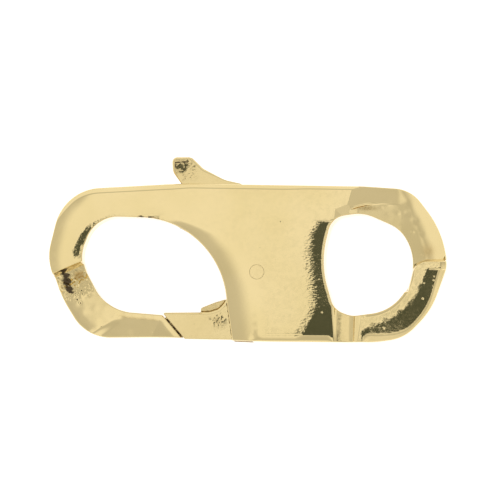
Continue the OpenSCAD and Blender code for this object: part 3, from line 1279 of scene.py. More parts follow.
@dataclass
class Casting:
    """The one casting: hook, two cheek plates with the slot between them, and chain eye.

    The first six fields are plans, of which the last two end where a high arm crosses over a low one.

    Slopes and angles are in degrees, but end_slope is a rise for each unit of run. Each back line says
    whether it is on the upper edge.
    """

    outline: Corners = (
        (-12.70, 0.15, 3.2), (-11.70, 4.48, 3.0), (-4.40, 4.98, 30), (7.20, 4.98, 12), (10.15, 4.85, 2.1),
        (12.05, 2.45, 6), (12.55, 0.05, 1.4), (11.60, -2.75, 5), (9.95, -4.52, 2.6), (8.20, -4.82, 8),
        (5.50, -4.86, 60), (0.30, -4.90, 60), (-4.80, -4.68, 60), (-10.20, -4.80, 2.7), (-11.80, -2.30, 8),
    )
    opening: Corners = (
        (-10.68, 0.10, 2.2), (-9.66, 2.84, 2.1), (-4.90, 2.78, 5.4), (-1.60, 0.14, 5.6), (-1.28, -2.60, 3),
        (-0.84, -5.30, 0), (-3.65, -5.30, 0), (-5.40, -3.30, 0.1), (-8.10, -3.12, 3), (-9.35, -2.30, 2.6),
    )
    eye: Corners = (
        (4.58, 0.10, 6), (5.22, 2.98, 1.2), (7.20, 3.32, 2.4), (9.48, 2.38, 2.2), (10.42, 0.90, 3),
        (10.25, -1.25, 3), (8.92, -2.86, 2.8), (6.60, -3.22, 1.7), (5.45, -2.80, 1.2),
    )
    slot: Corners = (
        (-4.50, 6.00, 0), (-4.46, 1.40, 0.3), (-1.90, -0.60, 0), (-1.80, -5.60, 0), (0.25, -5.60, 0),
        (0.70, -1.60, 0), (1.20, 0.48, 0), (2.85, 0.48, 0.61), (2.85, 6.00, 0),
    )
    high_eye_arm: Corners = (
        (10.55, 0.33, 0.95), (10.12, -1.6, 0), (7.0, -2.2, 0), (2.0, -2.2, 0), (2.0, -5.8, 0),
        (13.4, -5.8, 0), (13.4, 0.36, 0),
    )
    high_hook_arm: Corners = (
        (-10.55, -0.07, 0.15), (-9.0, 1.2, 0), (3.0, 1.2, 0), (3.0, 7.0, 0), (-13.4, 7.0, 0),
        (-13.4, -1.31, 0),
    )
    lip_place: int = 7
    hub_room: float = 1.5
    ramp_angle: float = 10.4
    ramp_turn: float = -15.0
    ramp_at: tuple[float, float] = (6.16, 3.6)
    tip_slope: float = 2.6
    end_slope: float = 8.0
    cross_at: float = 6.27
    scoop_reach: float = 0.99
    scoop_slope: float = 3.0
    chamfer: float = 36.0
    back_chamfer: float = 0.26
    rim: float = 0.07
    bore_rim: float = 0.009
    joint: GateJoint = GateJoint()
    ramp_dents: tuple[Dimple, ...] = dimples(
        (8.70, 3.98, 0.42, 0.008), (9.75, 3.98, 0.50, 0.018), (9.36, 3.36, 0.20, 0.006),
        (8.72, 3.12, 0.26, 0.0075), (8.36, 3.68, 0.16, 0.0045), (10.5, 2.9, 0.25, 0.011),
        (10.3, 2.2, 0.2, 0.009), (11.2, 3.1, 0.16, 0.007), (9.95, 3.3, 0.30, 0.012),
        (10.9, 2.1, 0.22, 0.009), (11.3, 1.0, 0.20, 0.010), (10.95, 0.75, 0.16, 0.008),
    )
    arm_dents: tuple[Dimple, ...] = dimples(
        (11.75, -0.62, 0.07, 0.006), (11.73, -0.86, 0.08, 0.007), (11.70, -1.22, 0.07, 0.006),
        (11.12, -1.05, 0.08, 0.006), (11.05, -2.03, 0.10, 0.008), (9.53, -3.39, 0.06, 0.004),
        (9.77, -3.70, 0.08, 0.006), (8.6, -3.95, 0.09, 0.006), (10.3, -2.9, 0.05, 0.003),
        (4.72, -3.0, 0.09, 0.006), (4.85, -3.4, 0.06, 0.004), (4.5, -0.9, 0.06, 0.004),
    )
    hook_dents: tuple[Dimple, ...] = dimples(
        (-10.80, -2.40, 0.10, 0.05), (-10.62, -2.60, 0.12, 0.06), (-10.08, -2.16, 0.10, 0.05),
        (-10.40, -1.83, 0.13, 0.03), (-10.83, -1.52, 0.12, 0.03), (-10.60, -1.63, 0.12, 0.02),
        (-9.90, -1.75, 0.10, 0.03),
    )
    back_lines: tuple[tuple[Sequence[tuple[float, float]], bool], ...] = (
        (((-4.4, 4.98), (5.4, 4.98)), True), (((-6.45, 4.84), (-4.4, 4.98)), True),
        (((6.45, -4.846), (-0.9, -4.848)), False), (((-4.3, -4.70), (-9.4, -4.782)), False),
    )

    def __post_init__(self) -> None:
        """Makes the outlines and lines that the face heights measure from."""
        lip = self.joint.lip_corners()
        opening = [*self.opening[:self.lip_place], *lip, *self.opening[self.lip_place:]]
        self.edge, self.eye_edge = Outline(self.outline), Outline(self.eye)
        self.hook_edge = Outline(self.opening)
        self.eye_end, self.hook_end = Outline(self.high_eye_arm), Outline(self.high_hook_arm)
        self.plan = Plan([self.edge], [Outline(opening), self.eye_edge, Circle(PIVOT, CAST_BORE)])
        self.eye_facet = EasedCurve(
            [(-4.9, 3.3), (-3.98, 3.62), (-3.7, 3.82), (-3.1, 4.10), (-2.53, 4.24), (-1.4, 4.10),
             (-0.27, 3.95), (0.3, 3.86), (0.86, 3.85), (1.42, 3.90), (1.99, 4.05), (2.57, 4.36), (3.4, 4.9)],
            0.35)
        self.hook_roll_width = EasedCurve(
            [(-4.9, 2.5), (-3.0, 2.4), (-1.0, 2.2), (0.5, 2.1), (1.6, 1.7), (2.7, 0.6)], 0.5)
        self.hook_facet = EasedCurve(
            [(-12.0, 0.72), (-11.25, 0.66), (-10.8, 0.54), (-10.3, 0.40), (-9.7, 0.24), (-9.0, 0.12),
             (-4.0, 0.1)], 0.3)
        self.arm_facet = EasedCurve(
            [(7.2, 0.9), (7.6, 1.0), (8.5, 1.25), (9.4, 1.40), (10.1, 1.30), (10.8, 1.15), (11.3, 1.17),
             (12.0, 1.3)], 0.3)
        self.arm_bevel = EasedCurve(
            [(7.2, 0.46), (8.4, 0.40), (9.3, 0.32), (10.0, 0.24), (10.6, 0.20), (11.4, 0.22), (11.8, 0.28),
             (12.0, 0.36)], 0.3)
        self.scoop = EasedCurve(
            [(-1.0, 0.12), (-0.87, 0.0), (-0.74, -0.15), (-0.62, -0.225), (-0.30, -0.252), (-0.05, -0.26),
             (0.15, -0.26), (0.44, -0.235), (0.50, -0.14), (0.56, -0.115), (0.86, 0.01), (1.0, 0.12)], 0.05)
        self.crescent_line = EasedCurve(
            [(5.9, 3.26), (6.02, 3.33), (6.4, 3.53), (6.85, 3.69), (7.33, 3.81), (7.81, 3.88), (8.3, 3.95)],
            0.1)
        self.crescent_step = EasedCurve([(5.9, 0.0), (6.85, 0.09), (9.6, 0.0)], 0.12)
        self.painted_shade_line = EasedCurve(
            [(-2.3, -11.12), (-1.8, -11.36), (-1.4, -11.52), (-1.0, -11.6), (-0.5, -11.6)], 0.15)
        self.cast_grain, self.worn_grain = Grain(11, 0.30), Grain(12, 0.9)

    @staticmethod
    def _plane(at: np.ndarray, start: tuple[float, float], toward: float, degrees: float) -> np.ndarray:
        """Height of a plane that falls from the face.

        Args:
            at: Plan points.
            start: Point of the line where it leaves the face.
            toward: Direction in which it falls, in degrees from +X.
            degrees: Its slope.

        Returns:
            Its height.
        """
        turn = math.radians(toward)
        run = (at[:, 0] - start[0]) * math.cos(turn) + (at[:, 1] - start[1]) * math.sin(turn)
        return THICKNESS - fall(degrees) * run

    def _chamfer(self, at: np.ndarray, line: Sequence[tuple[float, float]]) -> np.ndarray:
        """Height of a chamfer plane of the back along a line of the outline.

        Args:
            at: Plan points.
            line: Start and end of the line, solid on its right.

        Returns:
            Its height.
        """
        (x0, y0), (x1, y1) = line
        size = math.hypot(x1 - x0, y1 - y0)
        inside = ((at[:, 0] - x0) * (y1 - y0) - (at[:, 1] - y0) * (x1 - x0)) / size
        return THICKNESS - (self.back_chamfer - inside) * fall(self.chamfer)

    def _meet(self, low: np.ndarray, high: np.ndarray, inside: np.ndarray, foot: float) -> np.ndarray:
        """Joins a low arm to a high arm, whose rounded end lies inside from its edge."""
        return smooth_max(low, smooth_min(high, THICKNESS + self.end_slope * inside, 0.4), foot)

    def _eye_crossing(self, at: np.ndarray, high: np.ndarray, out: np.ndarray, side: Side) -> np.ndarray:
        """Upper arm that falls away from the plate and meets the end of the high arm.

        Args:
            at: Plan points, with the low arm at +X and +Y.
            high: Heights of the plate and the high arm.
            out: Distance in from the outline.
            side: The face it is on; only the front has the crescent and the dents.

        Returns:
            Heights of both.
        """
        x, y = at.T
        ramp = self._plane(at, self.ramp_at, self.ramp_turn, self.ramp_angle)
        if side is Side.FRONT:
            line = self.crescent_line(x)
            ramp = ramp - self.crescent_step(x) * ease(line - y, 0.0, 0.10)
            lip = hill((y - line, 0.06, 0.05)) * ease(x, 6.1, 6.5) * ease(x, 8.2, 7.4)
            ramp = ramp + 0.034 * lip * ease(high - ramp, 0.0, 0.04)
            for dent in self.ramp_dents:
                ramp = ramp - dent.drop(at)
            ramp = ramp - 0.0018 * self.worn_grain(at, ease(x, 9.0, 9.8) * (y > 0.2))
        ramp -= roll_off(1.45 - out, 0.95, 21.0) * ease(x, 9.2, 11.6)
        facet = np.maximum(self._plane(at, (5.47, 3.51), -67.6, 9.0),
                           self._plane(at, (5.44, 3.3), -7.0, 10.0))
        low = np.minimum(high, np.minimum(ramp, facet))
        low = np.where(((y > 0) & (x > 4.9)) | (x > 8.5), low, high)
        joined = self._meet(low, high, self.eye_end.near(at), 0.06)
        return np.where(x > 8.5, joined, low)

    def _plateau(self, at: np.ndarray, out: np.ndarray, hook: np.ndarray, eye: np.ndarray) -> np.ndarray:
        """Plate and high arms of the front, with their facets.

        Args:
            at: Plan points.
            out: Distance in from the outline.
            hook: Distance out from the hook opening.
            eye: Distance out from the eye.

        Returns:
            Heights.
        """
        x, y = at.T
        made = np.full(len(at), THICKNESS)
        # The plate bends down toward the lower half of the eye.
        facet = roll_off(x - self.eye_facet(y) + 0.55, 0.2, 0.5) + roll_off(x - self.eye_facet(y), 0.3, 3.3)
        made -= facet * ease(y, 2.80, 2.68) * ease(x, 6.5, 5.6)
        made -= roll_off(0.20 - eye, 0.05, 4.2) * ease(x, 5.9, 5.2) * ease(y, 2.9, 2.6)
        # It rolls off along the right edge of the hook opening.
        width = self.hook_roll_width(y)
        made -= roll_off(width - hook, width, 9.0) * ease(x, -6.4, -4.0) * ease(x, 1.0, 0.4)
        # High arm of the hook: outer slope and inner facet.
        left = ease(x, -9.4, -11.0) * ease(y, -2.2, -1.0)
        made -= roll_off(1.25 - out, 0.9, 5.3) * left
        band = ease(x, -4.6, -6.0) * ease(self.hook_end.near(at), 0.20, 0.42)
        made -= roll_off(self.hook_facet(x) - hook, 0.05, 4.0) * band
        made -= roll_off(0.25 * ease(x, -9.6, -10.5) - hook, 0.05, 5.6) * band
        # High arm of the eye: flat beside the eye, then a facet and a bevel toward the outline.
        inside = self.eye_end.near(at)
        right = ease(x, 7.25, 7.75)
        facet = right * ease(inside, 0.46, 0.58)
        made -= roll_off(self.arm_facet(x) - out, 0.14, 4.0) * facet
        made -= roll_off(self.arm_bevel(x) + 0.13 - out, 0.05, 4.7) * facet
        made -= roll_off(self.arm_bevel(x) - out, 0.06, 15.5) * right
        made -= roll_off(0.2 - eye, 0.06, 14.0) * right
        for dent in self.arm_dents:
            made = made - dent.drop(at)
        return made - 0.0006 * self.worn_grain(at, facet * ease(self.arm_facet(x) - out, 0.0, 0.2))

    def _long_edges(self, at: np.ndarray, made: np.ndarray, out: np.ndarray) -> np.ndarray:
        """Cuts the chamfers of the front's long edges.

        Args:
            at: Plan points.
            made: Heights so far.
            out: Distance in from the outline.

        Returns:
            Heights.
        """
        x, y = at.T
        reach = 0.30 - 0.06 * ease(x, -5.0, -3.5) - 0.05 * ease(x, 2.0, 4.0)
        reach = np.where(x < -9.0, reach * ease(y, 1.6, 3.6), reach)
        top = THICKNESS - (reach - out) * fall(self.chamfer)
        made = cut_where(made, (x < 6.9) & (y > 1.0), top, 0.06)
        along = ease(x, 0.1, 0.8) * ease(x, 5.5, 5.0) * ease(y, -3.6, -3.9)
        made -= roll_off(0.54 - out, 0.40, 9.0) * along
        made -= roll_off(0.44 - out, 0.06, 5.0) * along * ease(x, 3.0, 3.6)
        return made - roll_off(0.12 - out, 0.04, 18.0) * along

    def _scoop(self, at: np.ndarray) -> np.ndarray:
        """Height of the round scoop across the foot of the eye's high arm."""
        bottom = THICKNESS + self.scoop(at[:, 0] - self.cross_at)
        return bottom - fall(self.scoop_slope) * (at[:, 1] + 4.0)

    def _low_hook_arm(self, at: np.ndarray, out: np.ndarray, hook: np.ndarray) -> np.ndarray:
        """Height of the hook's low front arm, rough where it meets the high arm.

        Args:
            at: Plan points.
            out: Distance in from the outline.
            hook: Distance out from the hook opening.

        Returns:
            Heights.
        """
        x, y = at.T
        made = TRIGGER_HIGH + fall(self.tip_slope) * (x + 4.6)
        made -= roll_off(hook - 0.24, 0.18, 8.0) * ease(x - 1.39 * (y + 4.08), -9.3, -8.3)
        made -= roll_off(0.75 - out, 0.6, 8.0) * ease(x - 1.9 * (y + 3.96), -9.2, -10.2)
        made -= roll_off(-9.0 + 0.6 * (y + 3.8) - x, 0.8, 1.0)
        away = -self.hook_end.near(at)
        hollow = ease(x, -9.4, -10.2)
        made -= 0.12 * hill((away, 0.6, 0.42)) * hollow
        made -= 0.010 * self.cast_grain(at, hollow * ease(away, 0.0, 0.1) * ease(away, 2.3, 1.3))
        made -= 0.0022 * self.worn_grain(at, ease(away, 1.6, 2.6) * (x < -4.0) * (y < 0.0))
        for dent in self.hook_dents:
            made -= dent.drop(at)
        return made

    def cast_front(self, at: np.ndarray) -> np.ndarray:
        """Share of cast skin on the front.

        It lies in the hollow under the high hook arm, most in one orange spot, by the outline right of the
        eye, in the wedge under the crescent, in the scoop, on the facet of the eye's high arm, and in a line
        beside the hook opening.

        Args:
            at: Plan points.

        Returns:
            The share at each point.
        """
        x, y = at.T
        away = -self.hook_end.near(at)
        hollow = ease(away, 0.0, 0.08) * ease(away, 2.4, 1.2) * ease(x, -9.4, -10.0)
        orange = hill((x, -10.75, 0.34), (y, -0.85, 0.28), power=4)
        smudge = hill((x, 11.3, 0.38), (y, 1.0, 0.4))
        patch = (x > 7.4) * (y < -0.2) * ease(self.arm_facet(x) - 0.1 - self.edge.near(at), 0.0, 0.2)
        wedge = hill((x, 7.40, 0.60), (y, 3.62, 0.13))
        scoop = ease(np.abs(x - self.cross_at), 0.85, 0.7) * ease(y, -2.8, -3.1)
        line = hill((-self.hook_edge.near(at), 0.33, 0.06)) * ease(x, -8.4, -7.8) * ease(x, -5.2, -6.2)
        line = line * ease(y, -2.0, -2.6)
        hollow = np.maximum(0.09 * hollow, orange * hollow)
        return np.max([hollow, 0.6 * smudge, 0.8 * wedge, 0.12 * scoop, 0.08 * patch, 0.4 * line], axis=0)

    def filed_front(self, at: np.ndarray) -> np.ndarray:
        """Share of rough filing on the front: the facets that meet the plate and the two high arms.

        Args:
            at: Plan points.

        Returns:
            The share at each point.
        """
        x, y = at.T
        facet = x - self.eye_facet(y)
        eye = ease(facet, -0.6, -0.1) * ease(facet, 0.75, 0.2) * ease(y, 2.75, 2.5) * ease(x, 5.5, 5.0)
        eye = np.maximum(eye, 0.8 * (facet > 0.2) * (x < 5.5) * (y < 2.7))
        band = ease(self.hook_facet(x) + 0.1 + self.hook_edge.near(at), 0.0, 0.1) * ease(x, -7.6, -9.0)
        band = band * ease(y, -0.1, 0.3)
        arm = (x > 7.4) & (y < 0) & (self.eye_end.near(at) > 0.3)
        out = self.edge.near(at)
        arm = arm * ease(self.arm_facet(x) + 0.05 - out, 0.0, 0.1) * ease(out, 0.1, 0.3)
        return np.max([eye * ease(y, -4.4, -4.2), 0.8 * band, 0.6 * arm], axis=0)

    def painted_shade_front(self, at: np.ndarray) -> np.ndarray:
        """Share of painted shade on the front: near-black colour standing in for shade and dark reflections.

        It lies in the deepest part of the hook's hollow and in three of its dents, on the joint's lip in the
        gap under the gate, along the upper edge of the hook opening, at the scoop's edge, and at the foot of
        the hook's high arm.

        Args:
            at: Plan points.

        Returns:
            The share at each point.
        """
        x, y = at.T
        # Painted shade: the dark reflection in the deepest part of the hook's hollow, and the shadow in the
        # gap at the joint's lip.
        made = hill((x, self.painted_shade_line(y), 0.34)) * ease(y, -2.3, -1.9) * ease(y, -0.55, -0.85)
        made *= 0.92
        made = np.maximum(made, 0.63 * (self.joint.beyond(at) > 0) * self.joint.around(at))
        # Painted shade lines along the hook opening's upper edge, the scoop's edge and the foot of the high
        # arm.
        hook = -self.hook_edge.near(at)
        upper = ease(hook, 0.16, 0.10) * ease(x, -7.5, -7.1) * ease(x, -5.1, -5.7) * ease(y, 2.0, 2.4)
        scoop = hill((x, 6.76, 0.05)) * ease(y, -2.9, -3.2)
        foot = hill((self.hook_end.near(at), -0.05, 0.07)) * (x < -10.2) * ease(x, -10.9, -11.4)
        made = np.max([made, 0.55 * upper, 0.4 * scoop, 0.55 * foot], axis=0)
        for dent in self.hook_dents[:3]:
            made = np.maximum(made, dent.drop(at) / dent.depth)
        return made

    def front_height(self, at: np.ndarray) -> np.ndarray:
        """Height of the front face before its rim is rounded.

        Args:
            at: Plan points.

        Returns:
            Heights.
        """
        x, y = at.T
        out, hook, eye = self.edge.near(at), -self.hook_edge.near(at), -self.eye_edge.near(at)
        made = self._long_edges(at, self._plateau(at, out, hook, eye), out)
        made = self._eye_crossing(at, made, out, Side.FRONT)
        crossed = (y < -1.5) & (np.abs(x - self.cross_at) < self.scoop_reach)
        made = cut_where(made, crossed, self._scoop(at), 0.015 + 0.085 * ease(x, 6.6, 5.9))
        low = self._low_hook_arm(at, out, hook)
        made = np.where(x < -3.0, self._meet(low, made, self.hook_end.near(at), 0.10), made)
        return self._end_at_joint(at, made)

    def _end_at_joint(self, at: np.ndarray, made: np.ndarray) -> np.ndarray:
        """Ends the hook's tip at the slanted joint and leaves the lip beyond it.

        Args:
            at: Plan points.
            made: Heights so far.

        Returns:
            Heights.
        """
        beyond = self.joint.beyond(at)
        side = np.clip(1 + beyond / self.rim, 0, 1)
        ended = made - self.rim * (1 - np.sqrt(1 - side * side))
        step = np.clip(beyond / self.joint.wall, 0, 1)
        ended += (CHEEK - ended) * step
        return np.where(self.joint.around(at), ended, made)

    def back_height(self, at: np.ndarray) -> np.ndarray:
        """Height of the back face before its rim is rounded.

        Args:
            at: Plan points.

        Returns:
            Heights.
        """
        x, y = at.T
        out, eye = self.edge.near(at), -self.eye_edge.near(at)
        made = np.full(len(at), THICKNESS)
        high_arms = ease(x, 7.3, 7.8) * ease(y, 0.2, 0.7) + ease(x, -7.3, -7.8) * ease(y, 0.2, -0.4)
        made -= roll_off(1.2 - out, 0.3, 3.8) * high_arms
        made -= roll_off(0.2 - eye, 0.06, 14.0) * ease(x, 7.25, 7.75)
        for line, upper in self.back_lines:
            reached = (x > -9.3) & (x < 7.0) & ((y > 3) if upper else (y < -3))
            made = cut_where(made, reached, self._chamfer(at, line), 0.04)
        for flip in ((1, -1), (-1, 1)):
            turned = at * np.array(flip)
            made = np.where(turned[:, 0] > 0, self._eye_crossing(turned, made, out, Side.BACK), made)
        crossed = (y > 1.5) & (np.abs(x - self.cross_at) < self.scoop_reach)
        return THICKNESS - cut_where(made, crossed, self._scoop(at * np.array((1, -1))), 0.04)

    def _front_creases(self) -> list[np.ndarray]:
        """Lines of the front that the triangles follow.

        Returns:
            Points along each line.
        """
        corner = (6.2186, 3.8186)
        ramp = np.array([(6.40, 3.6086), corner, (6.42, 4.5703), (6.589, 5.201)])
        facet = np.array([corner, (5.4656, 3.5082), (5.3786, 2.8)])
        ends = [self.eye_end.stretch((10.2, -1.2), (13.2, 1.0), offset) for offset in (0.0, 0.13)]
        ends += [self.eye_edge.stretch((4.0, -2.9), (5.6, 2.8), offset) for offset in (0.15, 0.20)]
        ends += [self.hook_end.stretch((-13.2, -1.6), (-10.2, 0.6), offset) for offset in (0.0, 0.15)]
        return [ramp, facet, *ends, *self.joint.creases(self.rim)]

    def build(self, finish: PolishedGold) -> bpy.types.Object:
        """Builds and dresses the casting.

        Args:
            finish: Its finish.

        Returns:
            The finished piece.
        """
        def rim(at: np.ndarray) -> np.ndarray:
            """Radius of the rounded rim, very small round the pin."""
            return np.where(np.hypot(*(at - PIVOT).T) < 2 * PIN_RADIUS, self.bore_rim, self.rim)

        slot = Plan([Outline(self.slot), Circle(PIVOT, self.hub_room)])
        front = BroadFace(self.front_height, rim, Side.FRONT, self.cast_front, self.painted_shade_front,
                          self.filed_front)
        part = FlatPart(self.plan, front, BroadFace(self.back_height, rim, Side.BACK), slot)
        made = part.build("casting_body", FaceMesher(), self._front_creases(), [])
        made.data.materials.append(finish.material())
        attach(made, "casting")
        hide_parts("body")
        return made


@dataclass
class Trigger:
    """The trigger: gate, heel, hub and thumb tab in one piece.

    Its outline is without the hub, and its head is the tab's dome, above the middle of the thickness.
    """

    outline: Corners = (
        (-5.400, -3.149, 0.08), (-3.969, -4.782, 0.1), (0.10, -4.79, 0.4), (0.55, -1.50, 0), (0.90, -0.50, 0),
        (1.30, 0.20, 0), (1.05, 0.75, 0.3), (-0.50, 5.05, 0.25), (-1.60, 5.28, 2), (-2.98, 5.98, 0.8),
        (-3.74, 6.70, 0.45), (-4.97, 6.68, 0.32), (-4.90, 5.75, 0.8), (-4.34, 5.00, 1), (-3.70, 3.60, 3),
        (-1.60, 1.20, 3), (-1.10, -0.60, 1.2), (-1.05, -2.12, 0.5), (-2.10, -2.44, 1), (-2.97, -2.80, 0.12),
        (-3.00, -3.09, 0),
    )
    hub_radius: float = 1.35
    heel_step: float = 0.3
    head: float = 0.82
    head_at: tuple[float, float] = (-4.95, 6.22)
    head_bend: tuple[float, float] = (6.0, 2.7)

    def __post_init__(self) -> None:
        """Makes the grains of the worn tab and the pitted patch, and the curved edge of the gate."""
        self.grain, self.pitted_grain = Grain(21, 0.34), Grain(22, 0.2)
        self.heel_line = EasedCurve(
            [(-5.4, -3.085), (-2.7, -3.085), (-2.34, -3.05), (-1.84, -2.87), (-1.49, -2.50), (-1.30, -2.10),
             (-1.05, -1.20)], 0.12)

    def past_step(self, at: np.ndarray) -> np.ndarray:
        """Distance past the curved edge of the gate.

        Args:
            at: Plan points.

        Returns:
            Distances, positive on the lower heel.
        """
        x, y = at.T
        rise = (self.heel_line(x + 0.01) - self.heel_line(x - 0.01)) / 0.02
        return (y - self.heel_line(x)) / np.sqrt(1 + rise * rise)

    def pitted(self, at: np.ndarray) -> np.ndarray:
        """Share of the small pitted patch on the gate, near the plate."""
        x, y = at.T
        return hill((x, -1.88, 0.31), (y, -3.58, 0.34))

    def painted_shade_marks(self, at: np.ndarray) -> np.ndarray:
        """Share of painted shade: two lines under the tab's lip, a dark spot below it, and a line beside the
        plate where the plate overlaps the gate.

        Args:
            at: Plan points.

        Returns:
            The share at each point.
        """
        x, y = at.T
        # Painted shade under the tab's lip and beside the plate's edge, where it overlaps the gate.
        line = hill((y - 6.37, 0.1 * (x + 4.3), 0.055)) * ease(x, -4.80, -4.70) * ease(x, -3.75, -3.95)
        side = hill((x, -4.74, 0.05)) * ease(y, 5.9, 6.1) * ease(y, 6.42, 6.34)
        dark_spot = hill((x, -4.37, 0.12), (y, 5.25, 0.10))
        plate = hill((x + 1.33, -0.163 * (y + 2.6), 0.035)) * ease(y, -2.3, -2.5)
        return np.max([0.9 * line, 0.85 * side, 0.9 * dark_spot, 0.75 * plate], axis=0)

    def worn(self, at: np.ndarray) -> np.ndarray:
        """Share of wear: the head of the tab, roughened by use."""
        x, y = at.T
        return ease(y, 5.1, 5.5) * ease(x, -3.2, -3.9)

    def face_height(self, at: np.ndarray) -> np.ndarray:
        """Height of either face above the middle of the thickness, before its rim is rounded.

        Args:
            at: Plan points.

        Returns:
            Heights.
        """
        x, y = at.T
        flat = np.full(len(at), TRIGGER_HIGH - THICKNESS / 2)
        past = self.past_step(at)
        low = (y < -1.2) * ease(x, -1.0, -1.1)
        flat -= self.heel_step * ease(past, 0.0, 0.04) * low
        flat -= roll_off(0.15 + past, 0.03, 28.0) * ease(past, 0.095, 0.035) * low
        flat += 0.004 * self.pitted_grain(at, self.pitted(at))
        dome = self.head - ((x - self.head_at[0]) ** 2) / (2 * self.head_bend[0])
        dome = dome - ((y - self.head_at[1]) ** 2) / (2 * self.head_bend[1])
        domed = smooth_max(flat, dome, 0.03)
        return np.where((y > 4.9) & (x < -2.0), domed, flat) + 0.0010 * self.grain(at, self.worn(at))

    def build(self, finish: PolishedGold) -> bpy.types.Object:
        """Builds and dresses the trigger.

        Args:
            finish: Its finish.

        Returns:
            The finished piece.
        """
        def rim(at: np.ndarray) -> np.ndarray:
            """Radius of the rounded rim, larger on the worn tab."""
            return 0.06 + 0.10 * ease(at[:, 1], 5.2, 6.0)

        def front(at: np.ndarray) -> np.ndarray:
            """Height of the front face."""
            return THICKNESS / 2 + self.face_height(at)

        def back(at: np.ndarray) -> np.ndarray:
            """Height of the back face."""
            return THICKNESS / 2 - self.face_height(at)

        def skin(at: np.ndarray) -> np.ndarray:
            """Share of cast skin: the recessed heel, the worn tab and the pitted patch."""
            heel = ease(self.past_step(at), 0.015, 0.055) * ease(at[:, 1], -1.0, -1.4) * (at[:, 0] < -1.0)
            return 0.22 * heel + 0.12 * self.worn(at) + 0.3 * self.pitted(at)

        def filed(at: np.ndarray) -> np.ndarray:
            """Share of rough filing: the worn tab and the pitted patch."""
            return np.maximum(1.25 * self.worn(at), self.pitted(at))

        hub, bore = Circle(PIVOT, self.hub_radius), Circle(PIVOT, TRIGGER_BORE)
        plan = Plan([Outline(self.outline, 0.05), hub], [bore])
        part = FlatPart(plan, BroadFace(front, rim, Side.FRONT, skin, self.painted_shade_marks, filed),
                        BroadFace(back, rim, Side.BACK, skin, nowhere, filed))
        lip = np.array([(-4.74, 5.90), (-4.74, 6.33), (-3.84, 6.42)])
        lines = [lip + (-shift, shift) for shift in (-0.09, -0.045, 0.0, 0.045, 0.09)]
        plate = np.array([(-1.36, -2.40), (-0.99, -4.70)])
        lines += [plate + (shift, 0.0) for shift in (-0.08, -0.04, 0.0, 0.04, 0.08)]
        made = part.build("trigger_lever", FaceMesher(), lines, [])
        made.data.materials.append(finish.material())
        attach(made, "trigger")
        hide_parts("trigger")
        return made


class RoundBar:
    """Round bar or wire that Geometry Nodes sweep along a path, with a girth at each station."""

    def __init__(self, name: str, path: np.ndarray, girth: np.ndarray, sides: int) -> None:
        """Keeps the path and builds the node tree.

        Args:
            name: Name of the piece.
            path: Stations in millimetres.
            girth: Radius at each station, in millimetres.
            sides: Number of sides of the round section.
        """
        self.name, self.path, self.girth, self.sides = name, path, girth, sides
        self.tree = bpy.data.node_groups.new(f"{name}_sweep", "GeometryNodeTree")
        graph = NodeGraph(self.tree)
        new_socket = self.tree.interface.new_socket
        new_socket("Path", in_out="INPUT", socket_type="NodeSocketGeometry")
        self.inputs = {label: new_socket(label, in_out="INPUT", socket_type=kind).identifier
                       for label, kind in (("Sides", "NodeSocketInt"), ("Unit", "NodeSocketFloat"),
                                           ("Finish", "NodeSocketMaterial"))}
        new_socket("Bar", in_out="OUTPUT", socket_type="NodeSocketGeometry")
        given = graph.add("NodeGroupInput").outputs
        line = graph.add("GeometryNodeMeshToCurve", {"Mesh": given["Path"]}).outputs["Curve"]
        section = graph.add("GeometryNodeCurvePrimitiveCircle",
                            {"Resolution": given["Sides"], "Radius": given["Unit"]})
        girths = graph.add("GeometryNodeInputNamedAttribute", {"Name": "girth"}, data_type="FLOAT")
        swept = {"Curve": line, "Profile Curve": section.outputs["Curve"],
                 "Scale": girths.outputs["Attribute"], "Fill Caps": True}
        bar = graph.add("GeometryNodeCurveToMesh", swept).outputs["Mesh"]
        whole = graph.add("GeometryNodeRealizeInstances", {"Geometry": bar}).outputs["Geometry"]
        dressed = graph.add("GeometryNodeSetMaterial", {"Geometry": whole, "Material": given["Finish"]})
        graph.add("NodeGroupOutput", {"Bar": dressed.outputs["Geometry"]})

    def build(self, material: bpy.types.Material, sharp: float = 35.0) -> bpy.types.Object:
        """Sweeps the bar and keeps it as a plain mesh.

        Args:
            material: Its material.
            sharp: Angle from which an edge stays sharp, in degrees.

        Returns:
            The new object, linked to the scene.
        """
        count = len(self.path)
        mesh = bpy.data.meshes.new(f"{self.name}_path")
        mesh.from_pydata((self.path * MM).tolist(), [(i, i + 1) for i in range(count - 1)], [])
        mesh.attributes.new("girth", "FLOAT", "POINT").data.foreach_set("value", self.girth)
        made = link_object(self.name, mesh)
        sweep = made.modifiers.new("sweep", "NODES")
        sweep.node_group = self.tree
        sweep[self.inputs["Sides"]] = self.sides
        sweep[self.inputs["Unit"]] = MM
        sweep[self.inputs["Finish"]] = material
        result = bpy.data.meshes.new_from_object(made.evaluated_get(bpy.context.evaluated_depsgraph_get()))
        made.modifiers.remove(sweep)
        made.data = result
        result.name = self.name
        bpy.data.meshes.remove(mesh)
        edit = bmesh.new()
        edit.from_mesh(result)
        bmesh.ops.recalc_face_normals(edit, faces=edit.faces)
        edit.to_mesh(result)
        edit.free()
        result.shade_smooth()
        result.set_sharp_from_angle(angle=math.radians(sharp))
        return made


